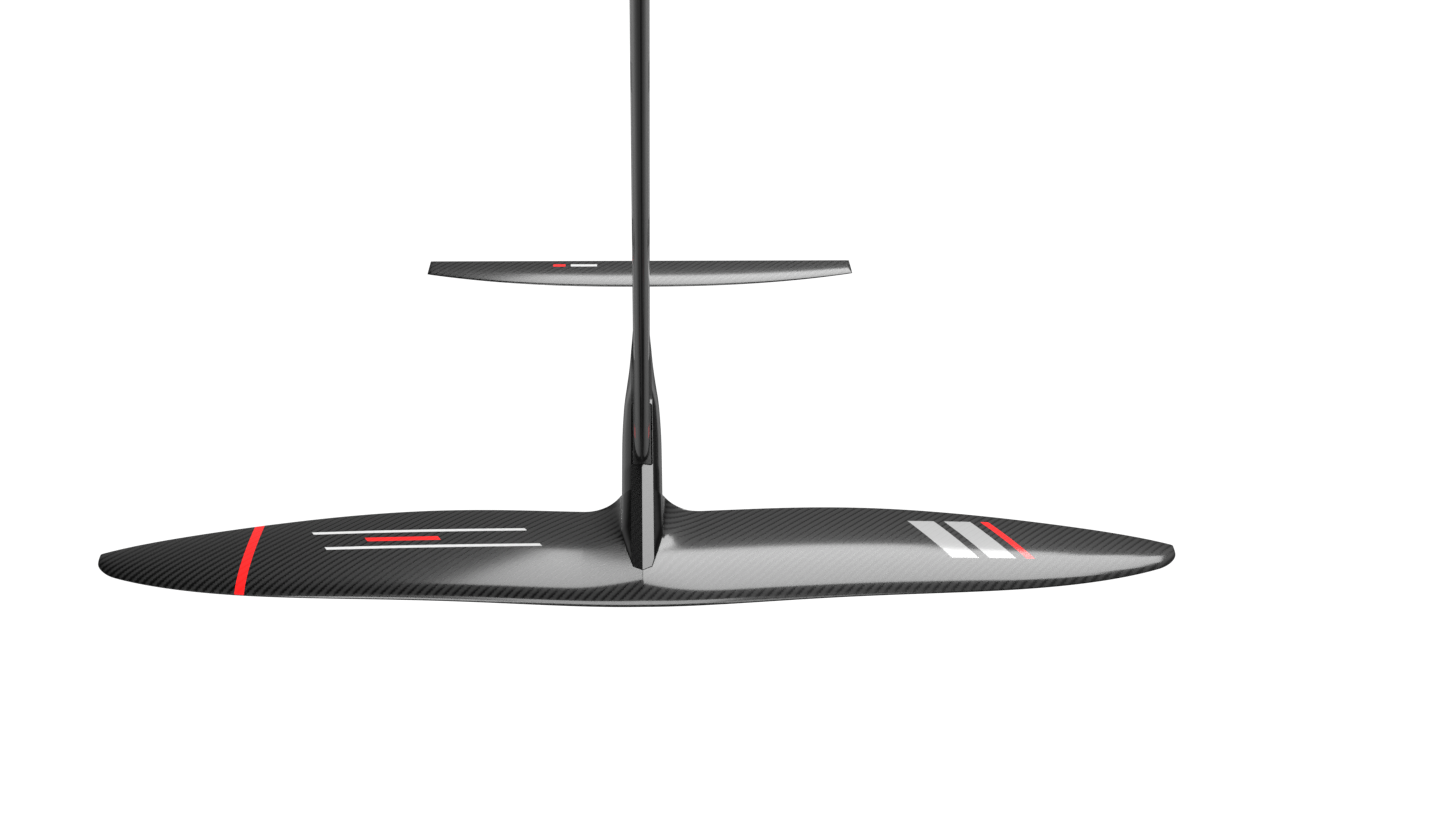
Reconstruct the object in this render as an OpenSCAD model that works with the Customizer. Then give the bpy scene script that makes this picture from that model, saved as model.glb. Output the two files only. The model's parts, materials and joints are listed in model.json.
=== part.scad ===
// Hydrofoil set: front wing, fuselage, mast with base plate, and stabiliser.
// X runs across the span, +Y runs aft, +Z runs up. The origin is the centre of
// the base plate's top face, where the set bolts to a board.

/* [Front wing] */
// Tip to tip span
wing_span = 1033.4; // [800:0.2:1400]
// Chord at the root
wing_chord = 135.4; // [120:0.2:170]
// Greatest thickness as a share of the chord
wing_thickness = 0.11; // [0.08:0.005:0.15]
// Greatest camber as a share of the chord
wing_camber = 0.03; // [0.01:0.005:0.045]
// Nose up angle of the chord line
wing_incidence = 1.5; // [0:0.1:3]
// Drop of the tips below the root, straight along each side
wing_anhedral = 5; // [0:0.5:30]
// How far the outline bulges aft near half of each side
wing_bulge = 10; // [0:0.2:15]
// Exponent of the outline: higher is fuller
wing_fullness = 2.7; // [2:0.02:3]
// Thickness of the trailing edge
wing_edge = 0.7; // [0.4:0.1:1.2]
// Thickness of the skin over the foam cores
wing_skin = 1.8; // [1.2:0.1:2.5]
// How far the saddle beside the fuselage spreads out along the wing
saddle_spread = 38; // [20:1:50]
// How far the saddle reaches behind the trailing edge
saddle_reach = 21; // [10:1:24]

/* [Fuselage] */
// Full width around the mast
body_width = 39.8; // [38:0.2:46]
// Height of the ridge above the wing's nose level
body_top = 32; // [28:1:40]
// Depth of the belly below the wing's nose level
body_belly = 12; // [10:1:16]
// Distance from the wing's nose to the body's nose
body_nose = 35.6; // [30:0.2:50]
// Length over which the sides of the body's nose widen
body_nose_length = 53; // [44:1:60]
// Half width of the two flat roof facets
roof_half = 10.8; // [10.4:0.1:13]
// Slope of the roof facets
roof_slope = 9.5; // [4:0.5:14]
// Length over which the body narrows to the tail boom
taper_length = 281; // [180:1:300]
// Distance from where the body starts to narrow to the mast's trailing edge
taper_lead = 53; // [10:1:60]
// Length over which the top falls behind the mast
tower_drop_length = 105; // [60:1:140]
// Width of the tail boom
boom_width = 16; // [14:0.5:20]
// Height of the boom's top above the wing's nose level, behind the taper
boom_top = 10; // [6:0.5:14]
// Length of boom behind the stabiliser's trailing edge
boom_overhang = 5; // [2:1:20]

/* [Mast] */
// Length between the fuselage and the base plate
mast_length = 750; // [600:5:1000]
// Chord at the fuselage
mast_chord = 91; // [86:1:110]
// Chord at the base plate
mast_top_chord = 112; // [95:1:130]
// Thickness at the fuselage
mast_thickness = 15.6; // [13.6:0.1:16.6]
// Thickness at the base plate
mast_top_thickness = 17.4; // [14.6:0.1:18.4]
// Wall of the mast
mast_wall = 2.4; // [1.8:0.1:3.2]
// Thickness of the web that runs up inside the mast
mast_web_thickness = 3; // [2:0.5:6]
// Distance from the wing's nose to the mast's leading edge
mast_setback = 170.8; // [162:0.2:190]
// Width of the mast foot
foot_width = 18.2; // [17.6:0.1:20]
// Width of the mast head
head_width = 20; // [19.4:0.1:22]
// Depth of the mast foot in the fuselage
foot_depth = 33; // [26:1:34]
// Length of the tongues that the foot and head push into the mast
tongue_length = 45; // [30:1:80]

/* [Base plate] */
// Length of the plate, along the board
plate_length = 198; // [190:1:220]
// Width of the plate
plate_width = 118; // [112:1:130]
// Thickness of the plate
plate_thickness = 9; // [8:0.5:12]
// Corner radius of the plate
plate_corner = 16; // [8:1:24]
// Height of the collar around the mast head
collar_height = 24; // [20:1:40]
// Wall of the collar around the mast head
collar_wall = 7; // [5:0.5:10]
// How far the collar flares out where it meets the plate
collar_flare = 8; // [4:0.5:12]
// Hole to hole distance across the board
slot_spacing_x = 90; // [86:1:94]
// Hole to hole distance along the board
slot_spacing_y = 165; // [150:1:170]
// Width of each slot
slot_width = 8.5; // [8.2:0.1:9.5]
// End to end length of each slot
slot_length = 14; // [10:0.5:16]

/* [Stabiliser] */
// Tip to tip span
tail_span = 482.6; // [380:0.2:600]
// Chord at the root
tail_chord = 50.8; // [46:0.1:65]
// Chord at the tips
tail_tip_chord = 25.6; // [18:0.2:40]
// Greatest thickness as a share of the chord
tail_thickness = 0.1; // [0.08:0.005:0.13]
// Distance from the wing's nose to the stabiliser's nose
tail_arm = 515.6; // [480:0.2:700]
// Height of the stabiliser's nose above the wing's nose level
tail_lift = 0; // [-4:0.5:6]
// Thickness of the shim under the stabiliser
shim_thickness = 1.2; // [0.5:0.1:2]

/* [Fasteners] */
// Shank diameter of the mast, wing and plate screws
screw_diameter = 8; // [7:0.5:8]
// Shank diameter of the stabiliser screws
tail_screw_diameter = 5; // [4:0.5:6]
// Distance between the two mast screws
mast_screw_spacing = 58; // [45:1:66]
// Distance between neighbouring plate screws
plate_screw_spacing = 36; // [30:1:40]
// Distance between the two wing screws
wing_screw_spacing = 38; // [30:1:44]
// Distance between the two stabiliser screws
tail_screw_spacing = 22; // [18:1:26]

/* [Fits] */
// Gap between pieces that slide together
slip_gap = 0.25; // [0.1:0.05:0.4]
// Gap around a bonded insert
bond_gap = 0.06; // [0.03:0.01:0.1]
// Gap around a screw's shank in a clearance hole
hole_gap = 0.3; // [0.2:0.05:0.5]
// Gap between a screw and its insert's thread
thread_gap = 0.1; // [0.05:0.05:0.2]

/* [Hidden] */
$fn = 48;

carbon = "#242527";
steel = "#b9bcc0";
alloy = "#8d9096";
foam = "#d8cfae";

// Where things stand: the mast's mid chord is on the origin's Y, and the wing's
// nose level is the datum of the fuselage
wing_y = -(mast_setback + mast_chord / 2);
datum_z = -(plate_thickness + mast_length + body_top);
half_span = wing_span / 2;
half_body = body_width / 2;

// How far a cut runs past the face that it opens, and a sliver that keeps faces apart
mouth = 1;
sliver = 0.02;

// Number of steps along each side of a wing section and of a mast section
wing_steps = 20;
tail_steps = 12;
mast_steps = 22;

function smooth(t) = let (c = min(1, max(0, t))) c * c * (3 - 2 * c);
function mix(a, b, t) = a + (b - a) * t;

// Section shapes

// Half thickness of a symmetrical section as a share of its chord, at the share u of the chord
function half_thickness(u, t) =
    5 * t * (0.2969 * sqrt(u) - 0.1260 * u - 0.3516 * pow(u, 2) + 0.2843 * pow(u, 3) - 0.1036 * pow(u, 4));

// Height of the mean line as a share of the chord, crested at 0.4 of it
mean_crest = 0.4;
function mean_line(u, m) = u < mean_crest
    ? m / pow(mean_crest, 2) * (2 * mean_crest * u - u * u)
    : m / pow(1 - mean_crest, 2) * (1 - 2 * mean_crest + 2 * mean_crest * u - u * u);

// Shares of the chord, crowded at both ends
function shares(n) = [for (i = [0 : n]) (1 - cos(180 * i / n)) / 2];

// A closed skin through rings of equally many points, each end capped from its middle
function middle(ring) = [for (k = [0 : 2]) [for (p = ring) p[k]] * [for (p = ring) 1] / len(ring)];
module loft(rings) {
    n = len(rings[0]);
    m = len(rings);
    sides = [for (j = [0 : m - 2], i = [0 : n - 1])
        let (a = j * n + i, b = j * n + (i + 1) % n)
        each [[a, b, b + n], [a, b + n, a + n]]];
    near = [for (i = [0 : n - 1]) [m * n, (i + 1) % n, i]];
    far = [for (i = [0 : n - 1]) [m * n + 1, (m - 1) * n + i, (m - 1) * n + (i + 1) % n]];
    polyhedron([for (r = rings) each r, middle(rings[0]), middle(rings[m - 1])], concat(sides, near, far));
}

// Screws and inserts

// Shares of the screw's diameter that set its countersunk head and its hexagon socket
head_share = 2;
head_height_share = 0.55;
socket_share = 0.58;
socket_depth_share = 0.6;
function head_height(d) = head_height_share * d;

// Countersunk screw pointing down, with the top of its head at the origin
module screw(d, length) {
    color(steel) difference() {
        union() {
            translate([0, 0, -head_height(d)])
                cylinder(h = head_height(d), r1 = d / 2, r2 = head_share * d / 2);
            translate([0, 0, -length]) cylinder(h = length - head_height(d) / 2, d = d);
        }
        translate([0, 0, -head_height(d) * socket_depth_share])
            cylinder(h = head_height(d), d = socket_share * d, $fn = 6);
    }
}

// Hole for that screw, with a clearance and a mouth above the head
module screw_hole(d, length) {
    above = 5 * d;
    translate([0, 0, -head_height(d) - hole_gap])
        cylinder(h = head_height(d), r1 = d / 2 + hole_gap, r2 = head_share * d / 2 + hole_gap);
    translate([0, 0, -hole_gap - sliver / 2]) cylinder(h = above, r = head_share * d / 2 + hole_gap);
    translate([0, 0, -length]) cylinder(h = length, r = d / 2 + hole_gap);
}

// Threaded insert as a plain bush standing on the origin
insert_wall = 2;
module insert(d, length) {
    color(steel) difference() {
        cylinder(h = length, r = d / 2 + thread_gap + insert_wall);
        translate([0, 0, -mouth]) cylinder(h = length + 2 * mouth, r = d / 2 + thread_gap);
    }
}

module insert_hole(d, length) {
    cylinder(h = length + bond_gap, r = d / 2 + thread_gap + insert_wall + bond_gap);
}

// Rectangle with round corners, in the XY plane
module rounded(x, y, r) {
    square([x - 2 * r, y], center = true);
    square([x, y - 2 * r], center = true);
    for (i = [-1, 1], j = [-1, 1]) translate([i * (x / 2 - r), j * (y / 2 - r)]) circle(r = r);
}

// Fuselage shape, in the wing's frame: y from the wing's nose, z from its level

shoulder_y = wing_chord;
mast_aft_y = mast_setback + mast_chord;
mast_mid_y = mast_setback + mast_chord / 2;
foot_margin = 2.4;
foot_corner = 1.8;
foot_length = mast_chord + 2 * foot_margin;
head_length = mast_top_chord + 2 * foot_margin;
tower_wall = 4;
tower_aft_y = mast_aft_y + foot_margin + slip_gap + tower_wall;
ridge_crest_y = mast_setback - foot_margin - slip_gap;
tail_aft_y = tail_arm + tail_chord;
body_aft_y = tail_aft_y + boom_overhang;

// Floor of the groove in the wing, and the pad and seat under the stabiliser
floor_z = 1;
pad_share = 0.75;
pad_z = tail_lift - pad_share * tail_thickness * tail_chord;
seat_z = pad_z - shim_thickness;
seat_start_y = tail_arm - 1;
seat_ramp = 16;
boom_rise = 3;
boom_depth = 13;

// Upper and lower height of the plain wing at its root
function root_z(y, side) = let (
        u = min(1, max(0, y / wing_chord)),
        share = mean_line(u, wing_camber) + side * half_thickness(u, wing_thickness))
    wing_chord * share - y * sin(wing_incidence);

// The root swells towards its middle line, so that the fuselage's nose grows out of the wing
swell_height = 0.02 * wing_chord;
swell_half = 0.55 * wing_chord;
swell_power = 1.7;
swell_full_y = 0.25 * wing_chord;
swell_fall_y = 0.53 * wing_chord;
function swell_along(y) = smooth(y / swell_full_y)
    * (1 - smooth((y - swell_fall_y) / (shoulder_y - swell_fall_y)));
function root_swell(x, y) =
    swell_height * swell_along(y) * pow(max(0, 1 - abs(x) / swell_half), swell_power);

// Plan outline: a raked blunt front, wedge sides, a long taper to the boom, and the boom's rounded end
nose_front = 0.45 * half_body;
nose_rake = 5.5;
nose_ease = 1.25;
nose_least = 0.0001;
nose_corner_y = body_nose + nose_rake;
taper_start_y = mast_aft_y - taper_lead;
boom_round = 7;
boom_blunt = 0.8;
function boom_end(y) = sqrt(1 - boom_blunt * pow(max(0, (y - body_aft_y) / boom_round + 1), 2));
function body_half(y) = let (
        front = nose_front * max(nose_least, (y - body_nose) / nose_rake),
        rest = max(0, 1 - (y - nose_corner_y) / body_nose_length),
        wedge = half_body - (half_body - nose_front) * pow(rest, nose_ease),
        nose = y < nose_corner_y ? front : wedge,
        aft = smooth((y - taper_start_y) / taper_length))
    mix(nose, boom_width / 2, aft) * boom_end(y);

// How flat the top is: 0 where it has a roof, 1 on the seat of the stabiliser
function seat_share(y) = smooth((y - (seat_start_y - seat_ramp)) / seat_ramp);

// The ridge rises from the nose to the mast in a slight bow, and falls to the boom behind it
nose_lift = 0.6;
ridge_bow = 0.3;
function along_boom(y) = smooth((y - tower_aft_y) / (seat_start_y - tower_aft_y));
function ridge_z(y) = let (
        rise = min(1, max(0, (y - body_nose) / (ridge_crest_y - body_nose))),
        bowed = (1 + ridge_bow) * rise - ridge_bow * rise * rise,
        low = root_z(body_nose, 1) + root_swell(0, body_nose) + nose_lift,
        front = mix(low, body_top, bowed),
        drop = smooth((y - tower_aft_y) / tower_drop_length),
        boom = mix(boom_top, tail_lift + boom_rise, along_boom(y)))
    mix(mix(front, boom, drop), seat_z, seat_share(y));

// The tongue is the front part that lies in the wing's groove
shoulder_step = 0.25;
function in_tongue(y) = y < shoulder_y + slip_gap + shoulder_step / 2;
function belly_z(y) = in_tongue(y) ? floor_z
    : mix(-body_belly, seat_z - boom_depth * boom_end(y), along_boom(y));

// The roof's eave, and the height of the rounded shoulder under it, which ends on the wing at the nose
roof_share = 0.96;
seat_flat_share = 0.86;
shoulder_height = 15;
shoulder_share = 0.45;
shoulder_least = 0.3;
seat_round = 1.2;
function roof_x(y) = let (w = body_half(y))
    mix(min(roof_half, roof_share * w), seat_flat_share * w, seat_share(y));
function eave_z(y) = ridge_z(y) - roof_x(y) * tan(roof_slope) * (1 - seat_share(y));
function bed_z(y) = root_z(y, 1) + root_swell(body_half(y), y);
function round_over(y) = let (
        side = shoulder_share * (eave_z(y) - belly_z(y)),
        proud = in_tongue(y) ? max(shoulder_least, eave_z(y) - bed_z(y)) : shoulder_height)
    mix(min(shoulder_height, side, proud), seat_round, seat_share(y));

// Section: ridge, eave, shoulder that starts with a slope and rounds over, bilge, belly
shoulder_steps = 5;
shoulder_slope = 0.42;
bilge_steps = 4;
bilge_share = 0.55;
bilge_height = 9;
bilge_height_share = 0.3;
function shoulder_drop(q) = shoulder_slope * q + (1 - shoulder_slope) * (1 - sqrt(1 - q * q));
function half_section(y) = let (
        w = body_half(y),
        low = belly_z(y),
        eave = eave_z(y),
        bilge = min(bilge_height, bilge_height_share * (eave - low)))
    concat(
        [[0, ridge_z(y)]],
        [for (i = [0 : shoulder_steps]) let (q = sin(90 * i / shoulder_steps))
            [mix(roof_x(y), w, q), eave - round_over(y) * shoulder_drop(q)]],
        [for (i = [0 : bilge_steps]) let (a = 90 * i / bilge_steps) in_tongue(y)
            ? [w * (1 - bilge_share * i / bilge_steps), low]
            : [w * (1 - bilge_share * (1 - cos(a))), low + bilge * (1 - sin(a))]],
        [[0, low]]);

function body_ring(y) = let (h = half_section(y), n = len(h)) concat(
    [for (p = h) [p[0], y, p[1]]],
    [for (i = [n - 2 : -1 : 1]) [-h[i][0], y, h[i][1]]]);

// Stations along the fuselage, closer where it changes fast
nose_start = 0.4;
rake_stations = 3;
nose_stations = 13;
nose_crowding = 1.5;
rise_stations = 3;
taper_stations = 24;
ramp_stations = 4;
end_stations = 4;
tongue_aft_y = shoulder_y + slip_gap;
tongue_ys = concat(
    [for (i = [0 : rake_stations]) mix(body_nose + nose_start, nose_corner_y, i / rake_stations)],
    [for (i = [1 : nose_stations])
        mix(nose_corner_y, tongue_aft_y, pow(i / nose_stations, nose_crowding))]);
ramp_y = seat_start_y - seat_ramp;
body_ys = concat(
    tongue_ys,
    [for (i = [0 : rise_stations]) mix(tongue_aft_y + shoulder_step, ridge_crest_y, i / rise_stations)],
    [for (i = [0 : taper_stations]) mix(taper_start_y, ramp_y, i / taper_stations)],
    [for (i = [1 : ramp_stations]) mix(ramp_y, seat_start_y, i / ramp_stations)],
    [for (i = [0 : end_stations]) body_aft_y - boom_round * (1 - sin(90 * i / end_stations))]);

module in_place() { translate([0, wing_y, datum_z]) children(); }

// Fastener places, in the wing's frame

mast_floor_z = body_top - foot_depth;
mast_screw_ys = [mast_mid_y - mast_screw_spacing / 2, mast_mid_y + mast_screw_spacing / 2];
wing_screw_aft = 18;
wing_screw_ys = [shoulder_y - wing_screw_aft - wing_screw_spacing, shoulder_y - wing_screw_aft];
tail_screw_share = 0.46;
tail_mid_y = tail_arm + tail_screw_share * tail_chord;
tail_screw_ys = [tail_mid_y - tail_screw_spacing / 2, tail_mid_y + tail_screw_spacing / 2];
plate_screw_ys = [-plate_screw_spacing, 0, plate_screw_spacing];
mast_insert_length = 16;
wing_insert_length = 9;
tail_insert_length = 8;
head_insert_length = 14;
tip_gap = 1;
recess = 0.8;

function tail_top_z(y) = let (u = (y - tail_arm) / tail_chord)
    tail_lift + tail_chord * half_thickness(u, tail_thickness);
function wing_head_z(y) = keel_z(y) + recess;
function tail_head_z(y) = tail_top_z(y) - recess / 2;
mast_screw_length = body_belly + mast_floor_z + mast_insert_length - tip_gap;
function wing_screw_length(y) = floor_z + wing_insert_length - tip_gap - wing_head_z(y);
function tail_screw_length(y) = tail_head_z(y) - seat_z + tail_insert_length - tip_gap;
plate_screw_length = plate_thickness + head_insert_length - tip_gap;

// Front wing

// The outline aims at a point beyond the tip, and the tip's two corners are rounded off
wing_tip_power = 1.52;
wing_axis_share = 0.53;
bulge_place = 0.786;
bulge_power = 2.51;
outline_reach = 1.029 * half_span;
tip_front_length = 0.148 * wing_chord;
tip_front_depth = 0.09 * wing_chord;
tip_aft_length = 0.016 * wing_chord;
tip_aft_depth = 0.008 * wing_chord;
function quarter(t) = 1 - sqrt(1 - pow(min(1, max(0, t)), 2));
function tip_corner(x, length, depth) = depth * quarter((abs(x) - half_span) / length + 1);
function tip_front(x) = tip_corner(x, tip_front_length, tip_front_depth);
function full_chord(x) =
    wing_chord * pow(1 - pow(abs(x) / outline_reach, wing_fullness), 1 / wing_tip_power);
function wing_chord_at(x) =
    full_chord(x) - tip_front(x) - tip_corner(x, tip_aft_length, tip_aft_depth);
function wing_nose_at(x) = wing_axis_share * (wing_chord - full_chord(x)) + tip_front(x)
    + wing_bulge * pow(sin(180 * pow(abs(x) / outline_reach, bulge_place)), bulge_power);
function wing_drop_at(x) = wing_anhedral * abs(x) / half_span;

// Profile of a fillet that is 1 at its foot and 0 where it has spread out
function fillet(t) = t >= 1 ? 0 : 1 - sqrt(1 - pow(1 - max(0, t), 2));
function saddle_aft(y) = y <= shoulder_y ? 1 : sqrt(max(0, 1 - pow((y - shoulder_y) / saddle_reach, 2)));
saddle_share = 0.85;
function saddle_height(y) = let (front = min(shoulder_y, max(body_nose, y)))
    saddle_aft(y) * max(0, saddle_share * (eave_z(front) - round_over(front) - bed_z(front)));
saddle_narrow = 24;
function saddle_width(y) =
    mix(saddle_narrow, saddle_spread, smooth((y - body_nose) / (shoulder_y - body_nose)));
function saddle_z(x, y) =
    saddle_height(y) * fillet((abs(x) - body_half(min(y, shoulder_y))) / saddle_width(y));
function saddle_y(x) = saddle_reach * fillet((abs(x) - half_body) / saddle_spread);

// The keel under the root carries the fuselage's belly forward
keel_start = 25;
keel_flat = 8.5;
keel_slope = 17;
function keel_share(y) =
    saddle_aft(y) * smooth((min(y, shoulder_y) - keel_start) / (shoulder_y - keel_start));
function keel_z(y) = mix(root_z(y, -1), -body_belly, keel_share(y));
function keel_depth(x, y) = (root_z(min(y, shoulder_y), -1) + body_belly) * keel_share(y)
    * (1 - smooth((abs(x) - keel_flat) / keel_slope));

function wing_point(x, share, side) = let (
        c = wing_chord_at(x),
        nose = wing_nose_at(x),
        y = share * (c + saddle_y(x)),
        u = min(1, y / c),
        skin = c * half_thickness(u, wing_thickness) + wing_edge / 2 * u,
        mid = c * mean_line(u, wing_camber) - u * c * sin(wing_incidence) - wing_drop_at(x),
        swell = side > 0 ? saddle_z(x, y + nose) + root_swell(x, y + nose) : keel_depth(x, y + nose))
    [x, y + nose, mid + side * (skin + swell)];

function wing_ring(x) = let (u = shares(wing_steps)) concat(
    [for (i = [wing_steps : -1 : 0]) wing_point(x, u[i], 1)],
    [for (i = [1 : wing_steps]) wing_point(x, u[i], -1)]);

root_stations = 5;
saddle_stations = 8;
saddle_crowding = 1.6;
span_stations = 22;
saddle_edge = half_body + saddle_spread;
half_xs = concat(
    [for (i = [1 : root_stations]) half_body * i / root_stations],
    [for (i = [1 : saddle_stations]) half_body + saddle_spread * pow(i / saddle_stations, saddle_crowding)],
    [for (i = [1 : span_stations]) mix(saddle_edge, half_span, sin(90 * i / span_stations))]);
wing_xs = concat([for (i = [len(half_xs) - 1 : -1 : 0]) half_xs[i]], [0], [for (x = half_xs) -x]);

// Foam cores: one in each half, inside the skin and clear of the root
core_front = 0.1;
core_aft = 0.74;
core_steps = 9;
core_stations = 13;
core_root = saddle_edge + 4;
core_tip_share = 0.86;
core_tip = core_tip_share * half_span;
function core_point(x, u, side, inset) = let (c = wing_chord_at(x)) [
    x,
    wing_nose_at(x) + u * c,
    c * mean_line(u, wing_camber) - u * c * sin(wing_incidence) - wing_drop_at(x)
        + side * (c * half_thickness(u, wing_thickness) - inset)];
function core_ring(x, inset) = let (
        u = [for (s = shares(core_steps)) mix(core_front, core_aft, s)],
        n = core_steps)
    concat(
        [for (i = [n : -1 : 0]) core_point(x, u[i], 1, inset)],
        [for (i = [0 : n]) core_point(x, u[i], -1, inset)]);

// Solid of one core, grown at its ends and all over by the gap
module core(side, gap) {
    loft([for (i = [0 : core_stations]) let (
        t = side > 0 ? 1 - i / core_stations : i / core_stations,
        x = mix(core_root - gap, core_tip + gap, t)) core_ring(side * x, wing_skin - gap)]);
}

// Plan outline of the fuselage with its clearance
function groove_half(y) = body_half(y + slip_gap) + slip_gap;
module groove_plan() {
    ys = concat([body_nose - slip_gap], tongue_ys, [shoulder_y + 2 * saddle_reach]);
    polygon(concat(
        [for (y = ys) [groove_half(y), y]],
        [for (i = [len(ys) - 1 : -1 : 0]) [-groove_half(ys[i]), ys[i]]]));
}

module front_wing() {
    high = 60;
    color(carbon) in_place() difference() {
        loft([for (x = wing_xs) wing_ring(x)]);
        translate([0, 0, floor_z]) linear_extrude(high) groove_plan();
        translate([-groove_half(shoulder_y), shoulder_y, -high])
            cube([2 * groove_half(shoulder_y), 2 * saddle_reach, 2 * high]);
        for (y = wing_screw_ys) translate([0, y, wing_head_z(y)]) mirror([0, 0, 1])
            screw_hole(screw_diameter, high);
        core(1, bond_gap);
        core(-1, bond_gap);
    }
}

module wing_core_right() { color(foam) in_place() core(1, 0); }
module wing_core_left() { color(foam) in_place() core(-1, 0); }

module wing_screws() {
    in_place() for (y = wing_screw_ys) translate([0, y, wing_head_z(y)]) mirror([0, 0, 1])
        screw(screw_diameter, wing_screw_length(y));
}

module wing_inserts() {
    in_place() for (y = wing_screw_ys) translate([0, y, floor_z])
        insert(screw_diameter, wing_insert_length);
}

// Fuselage

module fuselage() {
    color(carbon) in_place() difference() {
        loft([for (i = [len(body_ys) - 1 : -1 : 0]) body_ring(body_ys[i])]);
        translate([0, mast_mid_y, mast_floor_z]) linear_extrude(foot_depth + mouth)
            rounded(foot_width + 2 * slip_gap, foot_length + 2 * slip_gap, foot_corner + slip_gap);
        for (y = mast_screw_ys) translate([0, y, -body_belly]) mirror([0, 0, 1])
            screw_hole(screw_diameter, mast_screw_length);
        for (y = wing_screw_ys) translate([0, y, floor_z - sliver])
            insert_hole(screw_diameter, wing_insert_length + sliver);
        for (y = tail_screw_ys) translate([0, y, seat_z + sliver]) mirror([0, 0, 1])
            insert_hole(tail_screw_diameter, tail_insert_length + sliver);
    }
}

// Mast

mast_low_z = datum_z + body_top;
mast_high_z = -(plate_thickness + collar_height);
mast_edge = 0.8;
hollow_front = 0.05;
hollow_aft = 0.8;
web_share = 0.4;
function mast_share(z) = (z - mast_low_z) / (mast_high_z - mast_low_z);
function mast_chord_at(z) = mix(mast_chord, mast_top_chord, mast_share(z));
function mast_half(z, u) = let (
        c = mast_chord_at(z),
        t = mix(mast_thickness, mast_top_thickness, mast_share(z)) / c)
    c * half_thickness(u, t) + mast_edge / 2 * u;

// Ring of the mast's skin at a height, from nose to trailing edge
function mast_ring(z) = let (u = shares(mast_steps), c = mast_chord_at(z), n = mast_steps) concat(
    [for (i = [n : -1 : 0]) [mast_half(z, u[i]), c * (u[i] - 0.5), z]],
    [for (i = [1 : n]) [-mast_half(z, u[i]), c * (u[i] - 0.5), z]]);

// Ring inside the skin, between two places along the chord, trimmed by a gap at each
function hollow_ring(z, a, b, inset, trim) = let (
        c = mast_chord_at(z),
        u = [for (s = shares(mast_steps)) mix(a + trim / c, b - trim / c, s)],
        n = mast_steps)
    concat(
        [for (i = [n : -1 : 0]) [mast_half(z, u[i]) - inset, c * (u[i] - 0.5), z]],
        [for (i = [0 : n]) [inset - mast_half(z, u[i]), c * (u[i] - 0.5), z]]);

module mast_fill(low, high, a, b, inset, trim) {
    loft([hollow_ring(low, a, b, inset, trim), hollow_ring(high, a, b, inset, trim)]);
}
module mast_tongue(low, high) {
    mast_fill(low, high, hollow_front, hollow_aft, mast_wall + bond_gap, bond_gap);
}

// What fills the mast between its two tongues
module mast_inner(a, b, trim) {
    end = tongue_length + slip_gap;
    mast_fill(mast_low_z + end, mast_high_z - end, a, b, mast_wall + bond_gap, trim);
}

// Prism with the roof's two slopes, its ridge at height 0, from depth up to the roof
module roof_prism(depth, length) {
    wide = 2 * foot_width;
    fall = wide * tan(roof_slope);
    translate([0, length / 2, 0]) rotate([90, 0, 0]) linear_extrude(length)
        polygon([[0, 0], [wide, -fall], [wide, -depth], [-wide, -depth], [-wide, -fall]]);
}

module mast() {
    skirt = 4;
    color(carbon) difference() {
        loft([mast_ring(mast_low_z - skirt), mast_ring(mast_high_z)]);
        mast_fill(mast_low_z - 2 * skirt, mast_high_z + skirt, hollow_front, hollow_aft, mast_wall, 0);
        translate([0, 0, mast_low_z]) roof_prism(2 * skirt, 2 * mast_chord);
    }
}

web_half_share = mast_web_thickness / mast_chord / 2;
module mast_web() { color(carbon) mast_inner(web_share - web_half_share, web_share + web_half_share, 0); }
module mast_core_front() { color(foam) mast_inner(hollow_front, web_share - web_half_share, bond_gap); }
module mast_core_aft() { color(foam) mast_inner(web_share + web_half_share, hollow_aft, bond_gap); }

// How deep the tongues start inside the foot and the head
tongue_overlap = 6;

module mast_foot() {
    color(alloy) difference() {
        union() {
            intersection() {
                translate([0, 0, mast_low_z - foot_depth]) linear_extrude(foot_depth + mouth)
                    rounded(foot_width, foot_length, foot_corner);
                translate([0, 0, mast_low_z]) roof_prism(foot_depth + mouth, 2 * mast_chord);
            }
            mast_tongue(mast_low_z - tongue_overlap, mast_low_z + tongue_length);
        }
        for (y = mast_screw_ys) translate([0, y + wing_y, mast_low_z - foot_depth - sliver])
            insert_hole(screw_diameter, mast_insert_length + sliver);
    }
}

module mast_foot_inserts() {
    for (y = mast_screw_ys) translate([0, y + wing_y, mast_low_z - foot_depth])
        insert(screw_diameter, mast_insert_length);
}

module mast_screws() {
    in_place() for (y = mast_screw_ys) translate([0, y, -body_belly]) mirror([0, 0, 1])
        screw(screw_diameter, mast_screw_length);
}

module mast_head() {
    color(alloy) difference() {
        union() {
            translate([0, 0, mast_high_z]) linear_extrude(collar_height)
                rounded(head_width, head_length, foot_corner);
            mast_tongue(mast_high_z - tongue_length, mast_high_z + tongue_overlap);
        }
        for (y = plate_screw_ys) translate([0, y, -plate_thickness + sliver]) mirror([0, 0, 1])
            insert_hole(screw_diameter, head_insert_length + sliver);
    }
}

module mast_head_inserts() {
    for (y = plate_screw_ys) translate([0, y, -plate_thickness - head_insert_length])
        insert(screw_diameter, head_insert_length);
}

// Base plate

module slot() {
    reach = slot_length - slot_width;
    square([reach, slot_width], center = true);
    for (i = [-1, 1]) translate([i * reach / 2, 0]) circle(d = slot_width);
}

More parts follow.
